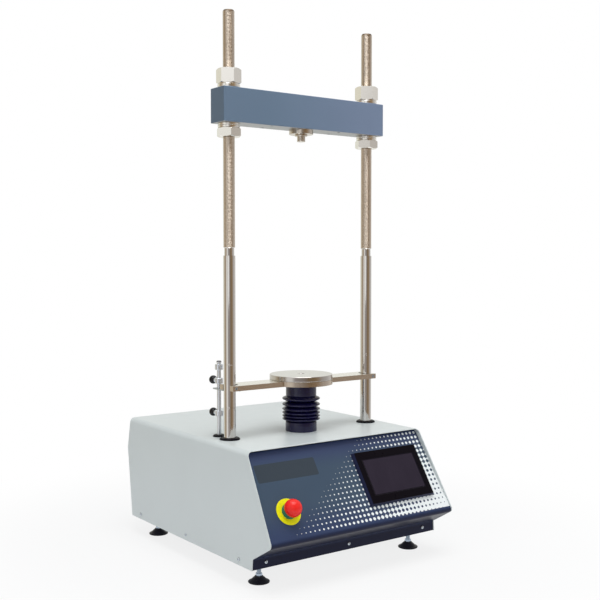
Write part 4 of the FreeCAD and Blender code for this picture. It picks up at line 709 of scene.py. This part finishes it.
# Guide bar and platen. A milled bar slides on the columns in its forked ends and carries the
# ground platen on the ram. Grub screws line its forks, and a thin trip plate hangs under it.
milled_bar = lined("milled_bar", tone(214, 206, 196), 0.24, (70, 3, 1), 0.45, 0.008, 0.18, 0.22)
# The top face is drawn pale, a painted light, and the sides darker and browner, a painted shade and
# reflection. The fine cut lines on both are real milling marks.
lit_top_mask = milled_bar.rise(milled_bar.millimetres()[2], 417.8, 417.95)
cuts = milled_bar.noise(0.45, 2, (70, 3, 1))
shaded_side_tone = milled_bar.mix(cuts, tone(184, 170, 155), tone(212, 200, 186))
lit_top_tone = milled_bar.mix(cuts, tone(236, 234, 226), tone(250, 249, 244))
milled_bar.give(Base_Color=milled_bar.mix(lit_top_mask, shaded_side_tone, lit_top_tone))
ground_steel = lined("ground_platen", tone(206, 203, 200), 0.12, (160, 160, 1), 0.35, 0.001, 0.14, 0.18)
across, depth, height = ground_steel.millimetres()
depth = depth - load_y
from_hole = ground_steel.math("SQRT", across * across + depth * depth)
face = ground_steel.rise(height, 429.6, 429.9)
pale = ground_steel.mix(ground_steel.noise(1.2, 2, (1, 12, 1)), tone(198, 196, 191), tone(226, 225, 221))
near_hole = 1 - ground_steel.rise(from_hole, 6, 17)
rubbed = ground_steel.rise(ground_steel.noise(7, 4) + near_hole * 0.45, 0.82, 0.95)
pale = ground_steel.mix(rubbed, pale, tone(92, 88, 86))
rim = ground_steel.mix(ground_steel.noise(0.35, 2, (160, 160, 1)), tone(182, 174, 168), tone(216, 214, 212))
ground_steel.give(Base_Color=ground_steel.mix(face, rim, pale))
dressed("guide_bar", 0.5, milled_bar, "plated_bar", "ram")
dressed("platen", 0.5, ground_steel, "ground_platen", "ram", 3)
coat(bright_zinc, "guide_bar_screws")
trip_zinc = lined("trip_plate_zinc", tone(188, 196, 204), 0.3, (1, 1, 1), 4.0, 0.004, 0.14, 0.1)
coat(trip_zinc, "trip_plate")

# Bellows. A moulded rubber boot over the ram, with a plain collar at each end and six rounded
# convolutions between. Its low end sits on the cover and its top at the bar; it is one fixed mesh and does
# not rise with the bar.
bellows_rubber = moulded("bellows_rubber", tone(19, 17, 58), 0.24, 3.0, 0.003, Specular_IOR_Level=0.5)
low_collar_r, high_collar_r, peak_r, wall = 38, 37, 46, 2.3
peaks = [321.4, 328.6, 336.4, 345.3, 356.5, 370.5]
knots = [(low_collar_r, 313.5), (34.5, 316.1), (peak_r, peaks[0])]
for low, high in zip(peaks, peaks[1:]):
    knots += [(peak_r - (high - low), (low + high) / 2), (peak_r, high)]
knots += [(35.5, 376.6), (high_collar_r, 379.2)]
outside = [(low_collar_r, 292.2), (low_collar_r, 304)]
for (r0, z0), (r1, z1) in zip(knots, knots[1:]):
    for i in range(6):
        share = i / 6
        bulge = math.sin(math.pi / 2 * share) if r1 > r0 else 1 - math.cos(math.pi / 2 * share)
        outside.append((r0 + (r1 - r0) * bulge, z0 + (z1 - z0) * share))
outside += [(high_collar_r, 379.2), (high_collar_r, 392), (high_collar_r, 405.4)]
inside = [(r - wall, z) for r, z in outside]
upright = Matrix.Translation((0, load_y / 1000, 0))
boot = turned("bellows_boot", outside + inside[::-1], 96, upright, closed=True, crease=60)
boot.data.materials.append(bellows_rubber.material)
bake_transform(boot)
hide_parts("bellows")

# Stop rod. A zinc plated rod beside the left column. The trip plate moves it by two collars, each
# clamped by a black ball knob, and a spring under the cover brings it back to its middle.
rod_zinc = lined("rod_zinc", tone(234, 240, 248), 0.3, (50, 50, 1), 0.4, 0.003, 0.14, 0.1)
coat(rod_zinc, "stop_rod")
cap_zinc = lined("rod_cap_zinc", tone(234, 240, 248), 0.3, (50, 50, 1), 0.4, 0.003, 0.14, 0.1)
cap_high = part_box("rod_cap")[1].z * 1000
# The top of the cap and its bevel are drawn dark and not metallic.
cap_top = cap_zinc.rise(cap_zinc.millimetres()[2], cap_high - 2.2, cap_high - 1.8)
cap_zinc.give(Base_Color=cap_zinc.mix(cap_top, tone(234, 240, 248), tone(34, 28, 44)), Metallic=1 - cap_top)
coat(cap_zinc, "rod_cap")
for name, body in (("rod_collars", "stop_rod"), ("upper_stop_collar", "upper_stop"),
                   ("lower_stop_collar", "lower_stop")):
    dressed(name, 0.35, rod_zinc, "zinc_plated", body)
knob_black = moulded("knob_phenolic", tone(9, 8, 13), 0.18, 6.0, 0.002, Coat_Weight=0.15, Coat_Roughness=0.06,
                     Specular_IOR_Level=0.3)
ball_r = 10
ball = [(0, -8.2), (5.7, -8.2)]
for i in range(22):
    angle = math.radians(-52 + 142 * i / 22)
    ball.append((ball_r * math.cos(angle), ball_r * math.sin(angle)))
ball.append((0, ball_r))
neck = [(0, -20.6), (2.6, -20.6), (3.0, -20.2), (3.0, -16.3), (5.6, -16.3), (6.0, -15.9), (6.0, -9.4),
        (5.4, -8.3), (0, -8.3)]
for level, up in (("upper", 423.2), ("lower", 346.7)):
    name = level + "_knob"
    there = Matrix.Translation((-0.2035, -0.0104, up / 1000)) @ Matrix.Rotation(math.radians(-90), 4, "X")
    black_ball = turned(name + "_ball", ball, 64, there, crease=40)
    seated(black_ball, knob_black, "gloss_black", name, level + "_stop_knob")
    plated_neck = turned(name + "_neck", neck, 48, there, crease=40)
    seated(plated_neck, rod_zinc, "zinc_plated", name, level + "_stop_knob")
graph, given = tree_with("wound_spring", Turns="Float", Radius="Float", Wire_Radius="Float", Tall="Float",
                         Place="Vector", Coating="Material")
coil = graph.node("GeometryNodeCurveSpiral", {
    "Resolution": 26, "Rotations": given["Turns"], "Height": given["Tall"],
    "Start Radius": given["Radius"], "End Radius": given["Radius"]})
section = graph.node("GeometryNodeCurvePrimitiveCircle", {"Resolution": 10, "Radius": given["Wire_Radius"]})
tube = graph.node("GeometryNodeCurveToMesh", {"Curve": coil, "Profile Curve": section, "Fill Caps": True})
moved = graph.node("GeometryNodeTransform", {"Geometry": tube, "Translation": given["Place"]})
wound_spring = tree_end(graph, moved, given["Coating"])
spring_low, spring_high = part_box("centring_spring")
spring = linked("centring_coil", bpy.data.meshes.new("centring_coil"))
grown(spring, wound_spring, Turns=8.0, Radius=0.0057, Wire_Radius=0.00038,
      Tall=spring_high.z - spring_low.z - 0.0009, Place=(-0.2035, -0.0364, spring_low.z + 0.00045),
      Coating=bright_zinc.material)
spring.data.shade_smooth()
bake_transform(spring)
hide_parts("centring_spring")
switch_plastic = moulded("switch_plastic", tone(30, 32, 36), 0.45, 0.9, 0.03)
coat(switch_plastic, "limit_switches")

# Stop button. A red mushroom head on a stem, over a green collar and a plain yellow disc. The head
# snaps in when pushed and is turned to let it out.
legend_yellow = moulded("legend_yellow", tone(255, 238, 20), 0.4, 1.0, 0.01, Specular_IOR_Level=0.2)
collar_green = moulded("collar_green", tone(14, 112, 104), 0.36, 1.0, 0.01, Specular_IOR_Level=0.3)
head_red = moulded("head_red", tone(246, 34, 26), 0.3, 1.2, 0.01, Specular_IOR_Level=0.4)
contact_black = moulded("contact_block", tone(40, 42, 46), 0.5, 1.0, 0.03)
dressed("estop_legend", 0.3, legend_yellow, "legend_yellow", "root")
dressed("estop_collar", 0.5, collar_green, "collar_green", "root")
dressed("estop_head", 0.5, head_red, "head_red", "estop_head", 3)
coat(contact_black, "estop_stem", "estop_contact_block")

# Display. A black moulded bezel round a touch panel, on the sloped fascia, and its housing behind
# the sheet. The panel is off, and its border is a little darker than its middle.
bezel_black = moulded("bezel_black", tone(14, 10, 18), 0.3, 0.7, 0.01, Specular_IOR_Level=0.06)
screen = Finish("screen_off", tone(50, 42, 56), 0.2, Specular_IOR_Level=0.12)
across, depth, height = screen.millimetres()
screen_x, screen_up, screen_half_w, screen_half_h = 125.5, 112.5, 76.5, 42.5
aside = screen.math("ABSOLUTE", across - screen_x) - screen_half_w
above = screen.math("ABSOLUTE", up_front(depth, height) - screen_up) - screen_half_h
active = 1 - screen.rise(screen.math("MAXIMUM", aside, above), -0.3, 0.3)
smears = screen.noise(40, 4, (1, 3, 3))
panel = screen.mix(smears, tone(38, 32, 44), tone(49, 42, 55))
screen.give(Base_Color=screen.mix(active, tone(18, 14, 24), panel), Roughness=smears * 0.12 + 0.14)
across, depth, height = bezel_black.millimetres()
# The bezel's sides below its front face are drawn a lighter blue grey than the black front: a painted sheen.
front = bezel_black.rise(off_front(depth, height), 8.6, 9.6)
bezel_black.give(Base_Color=bezel_black.mix(front, tone(38, 42, 68), tone(13, 9, 16)))
dressed("display_bezel", 0.7, bezel_black, "bezel_plastic", "root", 3)
coat(screen, "display_glass")
coat(switch_plastic, "display_housing")

# Rear sockets. A mains inlet with its rocker switch, and three data sockets in plated shells, all
# screwed into cut-outs in the rear panel.
inlet_black = moulded("inlet_black", tone(28, 28, 31), 0.42, 0.9, 0.02)
rocker_black = moulded("rocker_black", tone(20, 20, 22), 0.3, 1.4, 0.01, Coat_Weight=0.2, Coat_Roughness=0.2)
plated_shell = lined("plated_shell", tone(190, 192, 196), 0.28, (1, 1, 1), 2.5, 0.004, 0.14, 0.12)
coat(inlet_black, "power_inlet")
coat(rocker_black, "switch_rocker")
coat(plated_shell, "data_connectors")

# Electronics. A folded steel power supply, a finned motor drive and a green board on standoffs,
# screwed to the tray behind the drive.
supply_sheet = Finish("supply_sheet", tone(170, 174, 178), 0.36, 1.0)
drawn = supply_sheet.noise(0.8, 2, (40, 1, 1))
supply_sheet.give(Base_Color=supply_sheet.mix(drawn, tone(150, 154, 158), tone(186, 190, 194)),
                  Roughness=drawn * 0.14 + 0.3)
supply_sheet.relief(drawn, 0.008)
board_green = Finish("board_green", tone(24, 84, 58), 0.38, Coat_Weight=0.3, Coat_Roughness=0.15)
cell = board_green.node("ShaderNodeTexVoronoi", {"Vector": board_green.place, "Scale": 420.0}, "Distance",
                        feature="DISTANCE_TO_EDGE")
tracks = cell < 0.05
board_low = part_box("control_board")[0].z * 1000
above = board_green.rise(board_green.millimetres()[2], board_low + 12.5, board_low + 13)
laminate = board_green.mix(tracks, tone(24, 84, 58), tone(60, 120, 84))
board_green.give(Base_Color=board_green.mix(above, laminate, tone(34, 35, 38)))
board_green.relief(tracks, 0.02)
coat(supply_sheet, "power_supply")
coat(motor_black, "motor_drive")
coat(board_green, "control_board")
